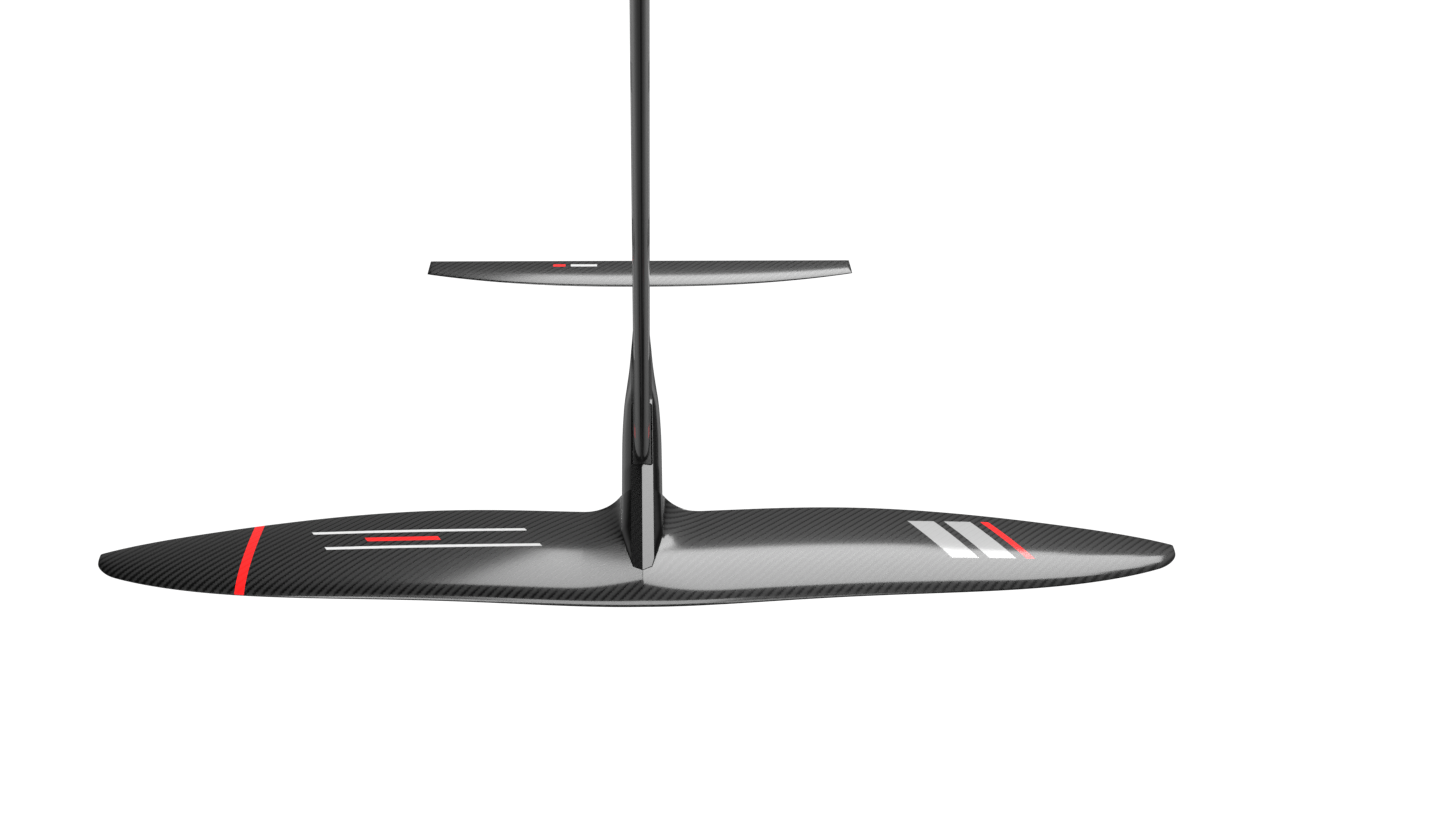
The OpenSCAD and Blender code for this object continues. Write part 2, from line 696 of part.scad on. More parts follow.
// Ring around the collar at a height, grown all round
corner_steps = 6;
function collar_ring(grow, z) = let (
        r = foot_corner + collar_wall + grow,
        x = head_width / 2 + collar_wall + grow - r,
        y = head_length / 2 + collar_wall + grow - r)
    [for (c = [[1, 1], [-1, 1], [-1, -1], [1, -1]], k = [0 : corner_steps]) let (
            start = c[1] > 0 ? (c[0] > 0 ? 0 : 90) : (c[0] > 0 ? 270 : 180),
            a = start + 90 * k / corner_steps)
        [c[0] * x + r * cos(a), c[1] * y + r * sin(a), z]];

// The collar flares out in a fillet where it meets the plate
flare_steps = 5;
flare_angle = 75;
module collar() {
    flare = [for (i = [0 : flare_steps]) let (
            a = flare_angle * (1 - i / flare_steps),
            down = collar_flare * (sin(flare_angle) - sin(a)))
        collar_ring(collar_flare * (1 - cos(a)), -plate_thickness - down)];
    root = collar_ring(collar_flare * (1 - cos(flare_angle)), -plate_thickness + mouth);
    loft(concat([root], flare, [collar_ring(0, mast_high_z)]));
}

module base_plate() {
    color(carbon) difference() {
        union() {
            translate([0, 0, -plate_thickness]) linear_extrude(plate_thickness)
                rounded(plate_width, plate_length, plate_corner);
            collar();
        }
        translate([0, 0, mast_high_z - mouth]) linear_extrude(collar_height + mouth)
            rounded(head_width + 2 * slip_gap, head_length + 2 * slip_gap, foot_corner + slip_gap);
        for (y = plate_screw_ys) translate([0, y, 0]) screw_hole(screw_diameter, plate_thickness + mouth);
        for (i = [-1, 1], j = [-1, 1])
            translate([i * slot_spacing_x / 2, j * slot_spacing_y / 2, -plate_thickness - mouth])
                linear_extrude(plate_thickness + 2 * mouth) slot();
    }
}

module plate_screws() {
    for (y = plate_screw_ys) translate([0, y, 0]) screw(screw_diameter, plate_screw_length);
}

// Stabiliser

tail_half = tail_span / 2;
tail_sweep_power = 2.35;
tail_edge = 0.6;
function tail_chord_at(x) = mix(tail_chord, tail_tip_chord, pow(abs(x) / tail_half, tail_sweep_power));
tail_tip_round = 0.985;
tail_tip_thin = 0.9;
function tail_thin(x) = let (t = max(0, abs(x) / tail_half - tail_tip_round) / (1 - tail_tip_round))
    sqrt(1 - tail_tip_thin * t * t);
tail_rake = 0.0075;
function tail_point(x, u, side) = let (c = tail_chord_at(x)) [
    x * (1 + tail_rake * (0.5 - u)),
    tail_aft_y - (1 - u) * c,
    tail_lift + side * tail_thin(x) * (c * half_thickness(u, tail_thickness) + tail_edge / 2 * u)];
function tail_ring(x) = let (u = shares(tail_steps)) concat(
    [for (i = [tail_steps : -1 : 0]) tail_point(x, u[i], 1)],
    [for (i = [1 : tail_steps]) tail_point(x, u[i], -1)]);
tail_stations = 12;
tail_crowding = 0.8;
tail_tip_stations = 3;
tail_half_xs = concat(
    [for (i = [1 : tail_stations]) tail_tip_round * tail_half * pow(i / tail_stations, tail_crowding)],
    [for (i = [1 : tail_tip_stations])
        tail_half * mix(tail_tip_round, 1, sin(90 * i / tail_tip_stations))]);
tail_xs = concat(
    [for (i = [len(tail_half_xs) - 1 : -1 : 0]) tail_half_xs[i]], [0], [for (x = tail_half_xs) -x]);

pad_width = boom_width - 2;
pad_margin = 4;
pad_length = tail_chord - 2 * pad_margin;
pad_corner = 4;
pad_mid_y = tail_arm + tail_chord / 2;

module stabiliser() {
    color(carbon) in_place() difference() {
        union() {
            loft([for (x = tail_xs) tail_ring(x)]);
            translate([0, pad_mid_y, pad_z]) linear_extrude(tail_lift - pad_z)
                rounded(pad_width, pad_length, pad_corner);
        }
        for (y = tail_screw_ys) translate([0, y, tail_head_z(y)])
            screw_hole(tail_screw_diameter, tail_head_z(y) - pad_z + mouth);
    }
}

module stabiliser_shim() {
    color(alloy) in_place() difference() {
        translate([0, pad_mid_y, seat_z]) linear_extrude(shim_thickness)
            rounded(pad_width, pad_length, pad_corner);
        for (y = tail_screw_ys) translate([0, y, seat_z - mouth])
            cylinder(h = shim_thickness + 2 * mouth, r = tail_screw_diameter / 2 + hole_gap);
    }
}

module stabiliser_screws() {
    in_place() for (y = tail_screw_ys) translate([0, y, tail_head_z(y)])
        screw(tail_screw_diameter, tail_screw_length(y));
}

module stabiliser_inserts() {
    in_place() for (y = tail_screw_ys) translate([0, y, seat_z - tail_insert_length])
        insert(tail_screw_diameter, tail_insert_length);
}

// Assembly

front_wing();
wing_core_right();
wing_core_left();
wing_screws();
wing_inserts();
fuselage();
mast();
mast_web();
mast_core_front();
mast_core_aft();
mast_foot();
mast_foot_inserts();
mast_screws();
mast_head();
mast_head_inserts();
base_plate();
plate_screws();
stabiliser();
stabiliser_shim();
stabiliser_screws();
stabiliser_inserts();
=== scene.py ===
import json
import math

import bmesh
import bpy
from mathutils import Matrix, Vector


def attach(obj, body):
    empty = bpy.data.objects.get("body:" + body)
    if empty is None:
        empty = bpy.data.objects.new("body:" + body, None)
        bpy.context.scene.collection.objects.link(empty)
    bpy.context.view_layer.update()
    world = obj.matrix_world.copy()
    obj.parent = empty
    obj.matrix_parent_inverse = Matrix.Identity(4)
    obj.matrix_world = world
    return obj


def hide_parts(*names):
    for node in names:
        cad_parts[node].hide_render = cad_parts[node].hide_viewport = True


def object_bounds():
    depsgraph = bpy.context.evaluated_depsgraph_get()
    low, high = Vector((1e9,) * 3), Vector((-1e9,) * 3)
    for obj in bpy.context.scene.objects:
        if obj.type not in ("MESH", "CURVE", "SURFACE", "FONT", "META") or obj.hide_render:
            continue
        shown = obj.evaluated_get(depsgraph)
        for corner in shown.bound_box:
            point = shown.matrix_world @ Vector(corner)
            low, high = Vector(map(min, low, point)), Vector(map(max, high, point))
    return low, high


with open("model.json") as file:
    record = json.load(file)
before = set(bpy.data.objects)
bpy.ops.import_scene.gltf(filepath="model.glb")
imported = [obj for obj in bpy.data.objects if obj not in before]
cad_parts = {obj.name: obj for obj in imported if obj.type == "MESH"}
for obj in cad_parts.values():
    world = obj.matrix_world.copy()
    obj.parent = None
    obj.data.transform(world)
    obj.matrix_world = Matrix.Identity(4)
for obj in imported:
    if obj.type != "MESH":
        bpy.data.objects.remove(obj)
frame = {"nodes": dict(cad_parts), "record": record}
cad_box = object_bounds()

# Sizes in millimetres, the same values as in the part's source
MM = 0.001

# Front wing
WING_SPAN = 1033.4
WING_CHORD = 135.4
WING_THICKNESS = 0.11
WING_CAMBER = 0.03
WING_INCIDENCE = math.radians(1.5)
WING_ANHEDRAL = 5.0
WING_BULGE = 10.0
WING_FULLNESS = 2.7
WING_TIP_POWER = 1.52
WING_AXIS_SHARE = 0.53
BULGE_PLACE = 0.786
BULGE_POWER = 2.51
OUTLINE_REACH_SHARE = 1.029
TIP_FRONT_LENGTH = 0.148 * WING_CHORD
TIP_FRONT_DEPTH = 0.09 * WING_CHORD
TIP_AFT_LENGTH = 0.016 * WING_CHORD
TIP_AFT_DEPTH = 0.008 * WING_CHORD
WING_EDGE = 0.7
WING_SKIN = 1.8
CORE_FRONT = 0.1
CORE_AFT = 0.74
CORE_TIP_SHARE = 0.86
CORE_CLEAR = 4.0
SADDLE_SPREAD = 38.0
SADDLE_NARROW = 24.0
SADDLE_REACH = 21.0
SADDLE_SHARE = 0.85
SWELL_HEIGHT = 0.02 * WING_CHORD
SWELL_HALF = 0.55 * WING_CHORD
SWELL_POWER = 1.7
SWELL_FULL_Y = 0.25 * WING_CHORD
SWELL_FALL_Y = 0.53 * WING_CHORD
KEEL_START = 25.0
KEEL_FLAT = 8.5
KEEL_SLOPE = 17.0

# Fuselage
BODY_WIDTH = 39.8
BODY_TOP = 32.0
BODY_BELLY = 12.0
BODY_NOSE = 35.6
BODY_NOSE_LENGTH = 53.0
NOSE_FRONT = 0.45 * BODY_WIDTH / 2
NOSE_RAKE = 5.5
NOSE_START = 0.2
NOSE_EASE = 1.25
NOSE_LEAST = 0.0001
NOSE_LIFT = 0.6
RIDGE_BOW = 0.3
ROOF_HALF = 10.8
ROOF_SHARE = 0.96
ROOF_SLOPE = math.radians(9.5)
SHOULDER_HEIGHT = 15.0
SHOULDER_SHARE = 0.45
SHOULDER_LEAST = 0.3
SHOULDER_SLOPE = 0.42
SHOULDER_STEP = 0.25
BILGE_SHARE = 0.55
BILGE_HEIGHT = 9.0
BILGE_HEIGHT_SHARE = 0.3
TAPER_LENGTH = 281.0
TAPER_LEAD = 53.0
BOOM_WIDTH = 16.0
BOOM_TOP = 10.0
BOOM_OVERHANG = 5.0
BOOM_RISE = 3.0
BOOM_DEPTH = 13.0
BOOM_ROUND = 7.0
BOOM_BLUNT = 0.8
TOWER_WALL = 4.0
TOWER_DROP = 105.0
FLOOR_Z = 1.0
SEAT_LEAD = 1.0
SEAT_RAMP = 16.0
SEAT_FLAT_SHARE = 0.86
SEAT_ROUND = 1.2

# Mast
MAST_LENGTH = 750.0
MAST_CHORD = 91.0
MAST_TOP_CHORD = 112.0
MAST_THICKNESS = 15.6
MAST_TOP_THICKNESS = 17.4
MAST_SETBACK = 170.8
MAST_EDGE = 0.8
MAST_WALL = 2.4
HOLLOW_FRONT = 0.05
HOLLOW_AFT = 0.8
FOOT_MARGIN = 2.4
FOOT_WIDTH = 18.2
FOOT_DEPTH = 33.0
FOOT_CORNER = 1.8
POCKET_RIM = 1.3
PLATE_THICKNESS = 9.0
COLLAR_HEIGHT = 24.0

# Stabiliser
TAIL_SPAN = 482.6
TAIL_CHORD = 50.8
TAIL_TIP_CHORD = 25.6
TAIL_THICKNESS = 0.1
TAIL_ARM = 515.6
TAIL_EDGE = 0.6
TAIL_SWEEP_POWER = 2.35
TAIL_TIP_ROUND = 0.985
TAIL_TIP_THIN = 0.9
TAIL_RAKE = 0.0075
SHIM_THICKNESS = 1.2
PAD_SHARE = 0.75
PAD_SIDE = 1.0
PAD_MARGIN = 4.0
PAD_CORNER = 4.0
PAD_WIDTH = BOOM_WIDTH - 2 * PAD_SIDE
PAD_LENGTH = TAIL_CHORD - 2 * PAD_MARGIN

# Gaps, inserts and screws
SLIP_GAP = 0.25
HOLE_GAP = 0.3
BOND_GAP = 0.06
THREAD_GAP = 0.1
INSERT_WALL = 2.0
WING_INSERT_LENGTH = 9.0
TAIL_INSERT_LENGTH = 8.0
SCREW = 8.0
TAIL_SCREW = 5.0
MAST_SCREW_SPACING = 58.0
WING_SCREW_SPACING = 38.0
WING_SCREW_AFT = 18.0
TAIL_SCREW_SPACING = 22.0
TAIL_SCREW_SHARE = 0.46
HEAD_SHARE = 2.0
HEAD_HEIGHT_SHARE = 0.55
RECESS = 0.8

# Foil sections: the crest of the mean line, and the terms of the standard four-digit thickness
MEAN_CREST = 0.4
SECTION_TERMS = (0.2969, -0.126, -0.3516, 0.2843, -0.1036)

# Steps of the meshes
WING_STEPS = 48
WING_ROOT_STATIONS = 46
WING_OUTER_STATIONS = 70
CORE_STEPS = 9
CORE_STATIONS = 13
RAKE_STATIONS = 10
TONGUE_STATIONS = 56
TONGUE_EASE = 1.3
RISE_STATIONS = 14
TOWER_STATIONS = 6
TAPER_STATIONS = 110
RAMP_STATIONS = 12
SEAT_STATIONS = 2
END_STATIONS = 12
SHOULDER_STEPS = 14
BILGE_STEPS = 8
MAST_STEPS = 60
TAIL_STEPS = 32
TAIL_STATIONS = 60
TAIL_TIP_STATIONS = 6
TURN_STEPS = 64
CORNER_STEPS = 10

# Angles in degrees above which an edge stays sharp
WING_CREASE = 28
BODY_CREASE = 12
MAST_CREASE = 30
TAIL_CREASE = 30

# How far cutters reach past what they cut
OVERRUN = 0.5
CUT_PROUD = 1.0
CUT_REACH = 60.0
SKIRT = 4.0
SCREW_MOUTH = 20.0
MAST_SCREW_CUT = 30.0
TAIL_SCREW_CUT = 20.0
ROOF_CUT_DEPTH = 10.0

# Places that follow from the sizes
HALF_SPAN = WING_SPAN / 2
HALF_BODY = BODY_WIDTH / 2
OUTLINE_REACH = OUTLINE_REACH_SHARE * HALF_SPAN
NOSE_CORNER_Y = BODY_NOSE + NOSE_RAKE
WING_Y = -(MAST_SETBACK + MAST_CHORD / 2)
DATUM_Z = -(PLATE_THICKNESS + MAST_LENGTH + BODY_TOP)
SHOULDER_Y = WING_CHORD
TONGUE_AFT_Y = SHOULDER_Y + SLIP_GAP
MAST_AFT_Y = MAST_SETBACK + MAST_CHORD
MAST_MID_Y = MAST_SETBACK + MAST_CHORD / 2
TOWER_AFT_Y = MAST_AFT_Y + FOOT_MARGIN + SLIP_GAP + TOWER_WALL
RIDGE_CREST_Y = MAST_SETBACK - FOOT_MARGIN - SLIP_GAP
TAIL_AFT_Y = TAIL_ARM + TAIL_CHORD
BODY_AFT_Y = TAIL_AFT_Y + BOOM_OVERHANG
PAD_Z = -PAD_SHARE * TAIL_THICKNESS * TAIL_CHORD
PAD_MID_Y = TAIL_ARM + TAIL_CHORD / 2
SEAT_Z = PAD_Z - SHIM_THICKNESS
SEAT_START_Y = TAIL_ARM - SEAT_LEAD
RAMP_Y = SEAT_START_Y - SEAT_RAMP
TAPER_START_Y = MAST_AFT_Y - TAPER_LEAD
TAIL_HALF = TAIL_SPAN / 2
CORE_ROOT = HALF_BODY + SADDLE_SPREAD + CORE_CLEAR
CORE_TIP = CORE_TIP_SHARE * HALF_SPAN
MAST_LOW_Z = DATUM_Z + BODY_TOP
MAST_HIGH_Z = -(PLATE_THICKNESS + COLLAR_HEIGHT)
WING_SCREW_YS = (SHOULDER_Y - WING_SCREW_AFT - WING_SCREW_SPACING, SHOULDER_Y - WING_SCREW_AFT)
MAST_SCREW_YS = (MAST_MID_Y - MAST_SCREW_SPACING / 2, MAST_MID_Y + MAST_SCREW_SPACING / 2)
TAIL_MID_Y = TAIL_ARM + TAIL_SCREW_SHARE * TAIL_CHORD
TAIL_SCREW_YS = (TAIL_MID_Y - TAIL_SCREW_SPACING / 2, TAIL_MID_Y + TAIL_SCREW_SPACING / 2)


# Shape functions, in the wing's frame: y aft of the wing's nose, z above its level
def clamp(t):
    return min(1.0, max(0.0, t))


def smooth(t):
    c = clamp(t)
    return c * c * (3 - 2 * c)


def mix(a, b, t):
    return a + (b - a) * t


def shares(n):
    """Shares of a chord after each of n steps, which close up towards both ends."""
    return [(1 - math.cos(math.pi * i / n)) / 2 for i in range(n + 1)]


def eased(i, n):
    """Share of a way after step i of n, where the steps close up towards its end."""
    return math.sin(math.pi / 2 * i / n)


def half_thickness(u, t):
    """Half the thickness of a foil section, as a share of its chord."""
    a, b, c, d, e = SECTION_TERMS
    return 5 * t * (a * math.sqrt(u) + b * u + c * u**2 + d * u**3 + e * u**4)


def mean_line(u, m):
    """Height of a foil section's mean line, as a share of its chord."""
    if u < MEAN_CREST:
        return m / MEAN_CREST**2 * (2 * MEAN_CREST * u - u * u)
    return m / (1 - MEAN_CREST) ** 2 * (1 - 2 * MEAN_CREST + 2 * MEAN_CREST * u - u * u)


def root_z(y, side):
    """Height of the wing's root section: its top where side is 1, its underside where side is -1."""
    u = clamp(y / WING_CHORD)
    skin = mean_line(u, WING_CAMBER) + side * half_thickness(u, WING_THICKNESS)
    return WING_CHORD * skin - y * math.sin(WING_INCIDENCE)


def root_swell(x, y):
    """How much the wing's top swells towards its root."""
    along = smooth(y / SWELL_FULL_Y) * (1 - smooth((y - SWELL_FALL_Y) / (SHOULDER_Y - SWELL_FALL_Y)))
    return SWELL_HEIGHT * along * max(0.0, 1 - abs(x) / SWELL_HALF) ** SWELL_POWER


def boom_end(y):
    """Share of its size that the boom keeps where its end rounds off."""
    return math.sqrt(1 - BOOM_BLUNT * max(0.0, (y - BODY_AFT_Y) / BOOM_ROUND + 1) ** 2)


def body_half(y):
    """Half the fuselage's width in plan."""
    front = NOSE_FRONT * max(NOSE_LEAST, (y - BODY_NOSE) / NOSE_RAKE)
    rest = max(0.0, 1 - (y - NOSE_CORNER_Y) / BODY_NOSE_LENGTH)
    wedge = HALF_BODY - (HALF_BODY - NOSE_FRONT) * rest**NOSE_EASE
    nose = front if y < NOSE_CORNER_Y else wedge
    return mix(nose, BOOM_WIDTH / 2, smooth((y - TAPER_START_Y) / TAPER_LENGTH)) * boom_end(y)


def seat_share(y):
    """0 ahead of the stabiliser's seat, 1 on it."""
    return smooth((y - RAMP_Y) / SEAT_RAMP)


def along_boom(y):
    """Share of the way from the mast's tower to the seat."""
    return smooth((y - TOWER_AFT_Y) / (SEAT_START_Y - TOWER_AFT_Y))


def ridge_z(y):
    """Height of the roof's ridge."""
    rise = clamp((y - BODY_NOSE) / (RIDGE_CREST_Y - BODY_NOSE))
    bowed = (1 + RIDGE_BOW) * rise - RIDGE_BOW * rise * rise
    low = root_z(BODY_NOSE, 1) + root_swell(0, BODY_NOSE) + NOSE_LIFT
    front = mix(low, BODY_TOP, bowed)
    boom = mix(BOOM_TOP, BOOM_RISE, along_boom(y))
    top = mix(front, boom, smooth((y - TOWER_AFT_Y) / TOWER_DROP))
    return mix(top, SEAT_Z, seat_share(y))


def belly_z(y, tongue):
    """Height of the fuselage's underside, which on the tongue lies on the groove's floor."""
    if tongue:
        return FLOOR_Z
    return mix(-BODY_BELLY, SEAT_Z - BOOM_DEPTH * boom_end(y), along_boom(y))


def roof_x(y):
    """Half the roof's width, from the ridge to the eave."""
    w = body_half(y)
    return mix(min(ROOF_HALF, ROOF_SHARE * w), SEAT_FLAT_SHARE * w, seat_share(y))


def eave_z(y):
    return ridge_z(y) - roof_x(y) * math.tan(ROOF_SLOPE) * (1 - seat_share(y))


def bed_z(y):
    """Height of the wing's top along the fuselage's side."""
    return root_z(y, 1) + root_swell(body_half(y), y)


def round_over(y, tongue):
    """How far the shoulder falls from the eave to the flank."""
    side = SHOULDER_SHARE * (eave_z(y) - belly_z(y, tongue))
    proud = max(SHOULDER_LEAST, eave_z(y) - bed_z(y)) if tongue else SHOULDER_HEIGHT
    return mix(min(SHOULDER_HEIGHT, side, proud), SEAT_ROUND, seat_share(y))


def tip_corner(x, length, depth):
    """How deep a rounded corner of the wing's tip cuts into its plan."""
    t = clamp((abs(x) - HALF_SPAN) / length + 1)
    return depth * (1 - math.sqrt(1 - t * t))


def tip_front(x):
    return tip_corner(x, TIP_FRONT_LENGTH, TIP_FRONT_DEPTH)


def full_chord(x):
    """The wing's chord before the corners of its tip are rounded."""
    return WING_CHORD * (1 - (abs(x) / OUTLINE_REACH) ** WING_FULLNESS) ** (1 / WING_TIP_POWER)


def wing_chord_at(x):
    return full_chord(x) - tip_front(x) - tip_corner(x, TIP_AFT_LENGTH, TIP_AFT_DEPTH)


def wing_nose_at(x):
    """How far aft the wing's leading edge lies."""
    e = abs(x) / OUTLINE_REACH
    bulge = WING_BULGE * math.sin(math.pi * e**BULGE_PLACE) ** BULGE_POWER
    return WING_AXIS_SHARE * (WING_CHORD - full_chord(x)) + tip_front(x) + bulge


def fillet(t):
    """Height of a hollow fillet: 1 at its wall, 0 where it runs out."""
    return 0.0 if t >= 1 else 1 - math.sqrt(1 - (1 - max(0.0, t)) ** 2)


def saddle_aft(y):
    """Share of its height that the saddle keeps where it trails off behind the wing."""
    if y <= SHOULDER_Y:
        return 1.0
    return math.sqrt(max(0.0, 1 - ((y - SHOULDER_Y) / SADDLE_REACH) ** 2))


def saddle_z(x, y):
    """Height of the saddle above the wing's top."""
    front = min(SHOULDER_Y, max(BODY_NOSE, y))
    flank = eave_z(front) - round_over(front, True) - bed_z(front)
    height = saddle_aft(y) * max(0.0, SADDLE_SHARE * flank)
    width = mix(SADDLE_NARROW, SADDLE_SPREAD, smooth((y - BODY_NOSE) / (SHOULDER_Y - BODY_NOSE)))
    return height * fillet((abs(x) - body_half(front)) / width)


def saddle_y(x):
    """How far the saddle trails behind the wing's trailing edge."""
    return SADDLE_REACH * fillet((abs(x) - HALF_BODY) / SADDLE_SPREAD)


def keel_share(y):
    return saddle_aft(y) * smooth((min(y, SHOULDER_Y) - KEEL_START) / (SHOULDER_Y - KEEL_START))


def keel_z(y):
    """Height of the keel under the wing, which meets the fuselage's belly."""
    return mix(root_z(y, -1), -BODY_BELLY, keel_share(y))


def keel_depth(x, y):
    """How far the keel stands below the wing's underside."""
    deep = root_z(min(y, SHOULDER_Y), -1) + BODY_BELLY
    return deep * keel_share(y) * (1 - smooth((abs(x) - KEEL_FLAT) / KEEL_SLOPE))


def wing_mid_z(x, u, c):
    """Height of the wing's mean line at a share of its chord."""
    drop = WING_ANHEDRAL * abs(x) / HALF_SPAN
    return c * mean_line(u, WING_CAMBER) - u * c * math.sin(WING_INCIDENCE) - drop


def wing_point(x, share, side):
    c = wing_chord_at(x)
    nose = wing_nose_at(x)
    y = share * (c + saddle_y(x))
    u = min(1.0, y / c)
    skin = c * half_thickness(u, WING_THICKNESS) + WING_EDGE / 2 * u
    swell = keel_depth(x, y + nose)
    if side > 0:
        swell = saddle_z(x, y + nose) + root_swell(x, y + nose)
    return (x, y + nose, wing_mid_z(x, u, c) + side * (skin + swell))


def core_point(x, u, side):
    c = wing_chord_at(x)
    skin = c * half_thickness(u, WING_THICKNESS) - WING_SKIN + BOND_GAP
    return (x, wing_nose_at(x) + u * c, wing_mid_z(x, u, c) + side * skin)


def tail_chord_at(x):
    return mix(TAIL_CHORD, TAIL_TIP_CHORD, (abs(x) / TAIL_HALF) ** TAIL_SWEEP_POWER)


def tail_point(x, u, side):
    c = tail_chord_at(x)
    t = max(0.0, abs(x) / TAIL_HALF - TAIL_TIP_ROUND) / (1 - TAIL_TIP_ROUND)
    thin = math.sqrt(1 - TAIL_TIP_THIN * t * t)
    skin = c * half_thickness(u, TAIL_THICKNESS) + TAIL_EDGE / 2 * u
    return (x * (1 + TAIL_RAKE * (0.5 - u)), TAIL_AFT_Y - (1 - u) * c, side * thin * skin)


def tail_top_z(y):
    return TAIL_CHORD * half_thickness((y - TAIL_ARM) / TAIL_CHORD, TAIL_THICKNESS)


def mast_share(z):
    return (z - MAST_LOW_Z) / (MAST_HIGH_Z - MAST_LOW_Z)


def mast_point(z, u, side):
    """Point on the mast's skin, in millimetres in the part's frame."""
    c = mix(MAST_CHORD, MAST_TOP_CHORD, mast_share(z))
    t = mix(MAST_THICKNESS, MAST_TOP_THICKNESS, mast_share(z)) / c
    return (side * (c * half_thickness(u, t) + MAST_EDGE / 2 * u), c * (u - 0.5), z)


# Mesh helpers
def in_place(p):
    """A point of the wing's frame, in metres in the part's frame."""
    return (p[0] * MM, (p[1] + WING_Y) * MM, (p[2] + DATUM_Z) * MM)


def in_metres(p):
    return tuple(v * MM for v in p)


def new_object(name, bm):
    bmesh.ops.recalc_face_normals(bm, faces=bm.faces)
    mesh = bpy.data.meshes.new(name)
    bm.to_mesh(mesh)
    bm.free()
    piece = bpy.data.objects.new(name, mesh)
    bpy.context.scene.collection.objects.link(piece)
    return piece


def loft(name, rings):
    """Closed skin through rings of points."""
    bm = bmesh.new()
    rows = [[bm.verts.new(p) for p in ring] for ring in rings]
    n = len(rows[0])
    for a, b in zip(rows, rows[1:]):
        for i in range(n):
            bm.faces.new((a[i], a[(i + 1) % n], b[(i + 1) % n], b[i]))
    for row in (rows[0], rows[-1]):
        middle = bm.verts.new(sum((v.co for v in row), Vector()) / n)
        for i in range(n):
            bm.faces.new((middle, row[i], row[(i + 1) % n]))
    return new_object(name, bm)


def prism(name, outline, low, high):
    """Upright prism over a plan outline, in the wing's frame."""
    bm = bmesh.new()
    rows = [[bm.verts.new(in_place((x, y, z))) for x, y in outline] for z in (low, high)]
    n = len(outline)
    for i in range(n):
        bm.faces.new((rows[0][i], rows[0][(i + 1) % n], rows[1][(i + 1) % n], rows[1][i]))
    for row in rows:
        bm.faces.new(row)
    return new_object(name, bm)


def turned(name, profile, centre):
    """Solid of revolution about an upright axis through centre; profile is (radius, height) pairs."""
    rings = []
    for r, h in profile:
        ring = []
        for i in range(TURN_STEPS):
            a = 2 * math.pi * (i + 0.5) / TURN_STEPS
            ring.append(in_place((centre[0] + r * math.cos(a), centre[1] + r * math.sin(a), centre[2] + h)))
        rings.append(ring)
    return loft(name, rings)


def screw_cutter(d, centre, up, length):
    """Countersunk hole whose head lies at centre; up is 1 where the shank points up, -1 where down."""
    head, shank, depth = HEAD_SHARE * d / 2 + HOLE_GAP, d / 2 + HOLE_GAP, HEAD_HEIGHT_SHARE * d
    profile = [(head, SCREW_MOUTH), (head, -HOLE_GAP), (shank, -HOLE_GAP - depth), (shank, -length)]
    return turned("cutter", [(r, -up * h) for r, h in profile], centre)


def insert_bore(d, mouth, up, length):
    """Bore of a threaded insert that opens at mouth; up is 1 where it runs up from there, -1 where down."""
    r = d / 2 + THREAD_GAP + INSERT_WALL + BOND_GAP
    return turned("cutter", [(r, -up * CUT_PROUD), (r, up * (length + BOND_GAP))], mouth)


def rounded_outline(x, y, r, mid_y):
    """Rectangle with rounded corners, in plan."""
    points = []
    for i, (sx, sy) in enumerate(((1, 1), (-1, 1), (-1, -1), (1, -1))):
        for k in range(CORNER_STEPS + 1):
            a = math.pi / 2 * (i + k / CORNER_STEPS)
            points.append((sx * (x / 2 - r) + r * math.cos(a), mid_y + sy * (y / 2 - r) + r * math.sin(a)))
    return points


def split_at_ridge(outline):
    """The same outline with a point wherever it crosses the ridge."""
    points = []
    for (x0, y0), (x1, y1) in zip(outline, outline[1:] + outline[:1]):
        points.append((x0, y0))
        if x0 * x1 < 0:
            points.append((0.0, mix(y0, y1, x0 / (x0 - x1))))
    return points


def both_sides(xs):
    """Stations from one tip to the other, from those of the right half."""
    return [-x for x in reversed(xs[1:])] + xs


def foil_rings(point, stations, steps, place):
    """Sections of a foil, each from its tail over the top to its nose and back underneath."""
    u = shares(steps)
    rings = []
    for at in stations:
        ring = [point(at, s, 1) for s in reversed(u)] + [point(at, s, -1) for s in u[1:]]
        rings.append([place(p) for p in ring])
    return rings


def combine(piece, tools, operation="DIFFERENCE"):
    """Cut or join other solids with a piece, then delete them."""
    for tool in tools:
        change = piece.modifiers.new("combine", "BOOLEAN")
        change.operation = operation
        change.solver = "EXACT"
        change.object = tool
    bpy.context.view_layer.update()
    graph = bpy.context.evaluated_depsgraph_get()
    mesh = bpy.data.meshes.new_from_object(piece.evaluated_get(graph))
    piece.modifiers.clear()
    piece.data = mesh
    for tool in tools:
        bpy.data.objects.remove(tool)
    return piece


def shade(piece, angle):
    """Smooth shading that leaves edges above an angle sharp."""
    piece.data.shade_smooth()
    piece.data.set_sharp_from_angle(angle=math.radians(angle))
    return piece


# Pieces
def front_wing():
    edge = HALF_BODY + SADDLE_SPREAD
    xs = [edge * i / WING_ROOT_STATIONS for i in range(WING_ROOT_STATIONS)]
    outer = range(WING_OUTER_STATIONS + 1)
    xs += [mix(edge, HALF_SPAN, eased(i, WING_OUTER_STATIONS)) for i in outer]
    wing = loft("front_wing_skin", foil_rings(wing_point, both_sides(xs), WING_STEPS, in_place))
    tools = groove()
    tools += [screw_cutter(SCREW, (0, y, keel_z(y) + RECESS), 1, CUT_REACH) for y in WING_SCREW_YS]
    tools += [core_room(1), core_room(-1)]
    return shade(combine(wing, tools), WING_CREASE)


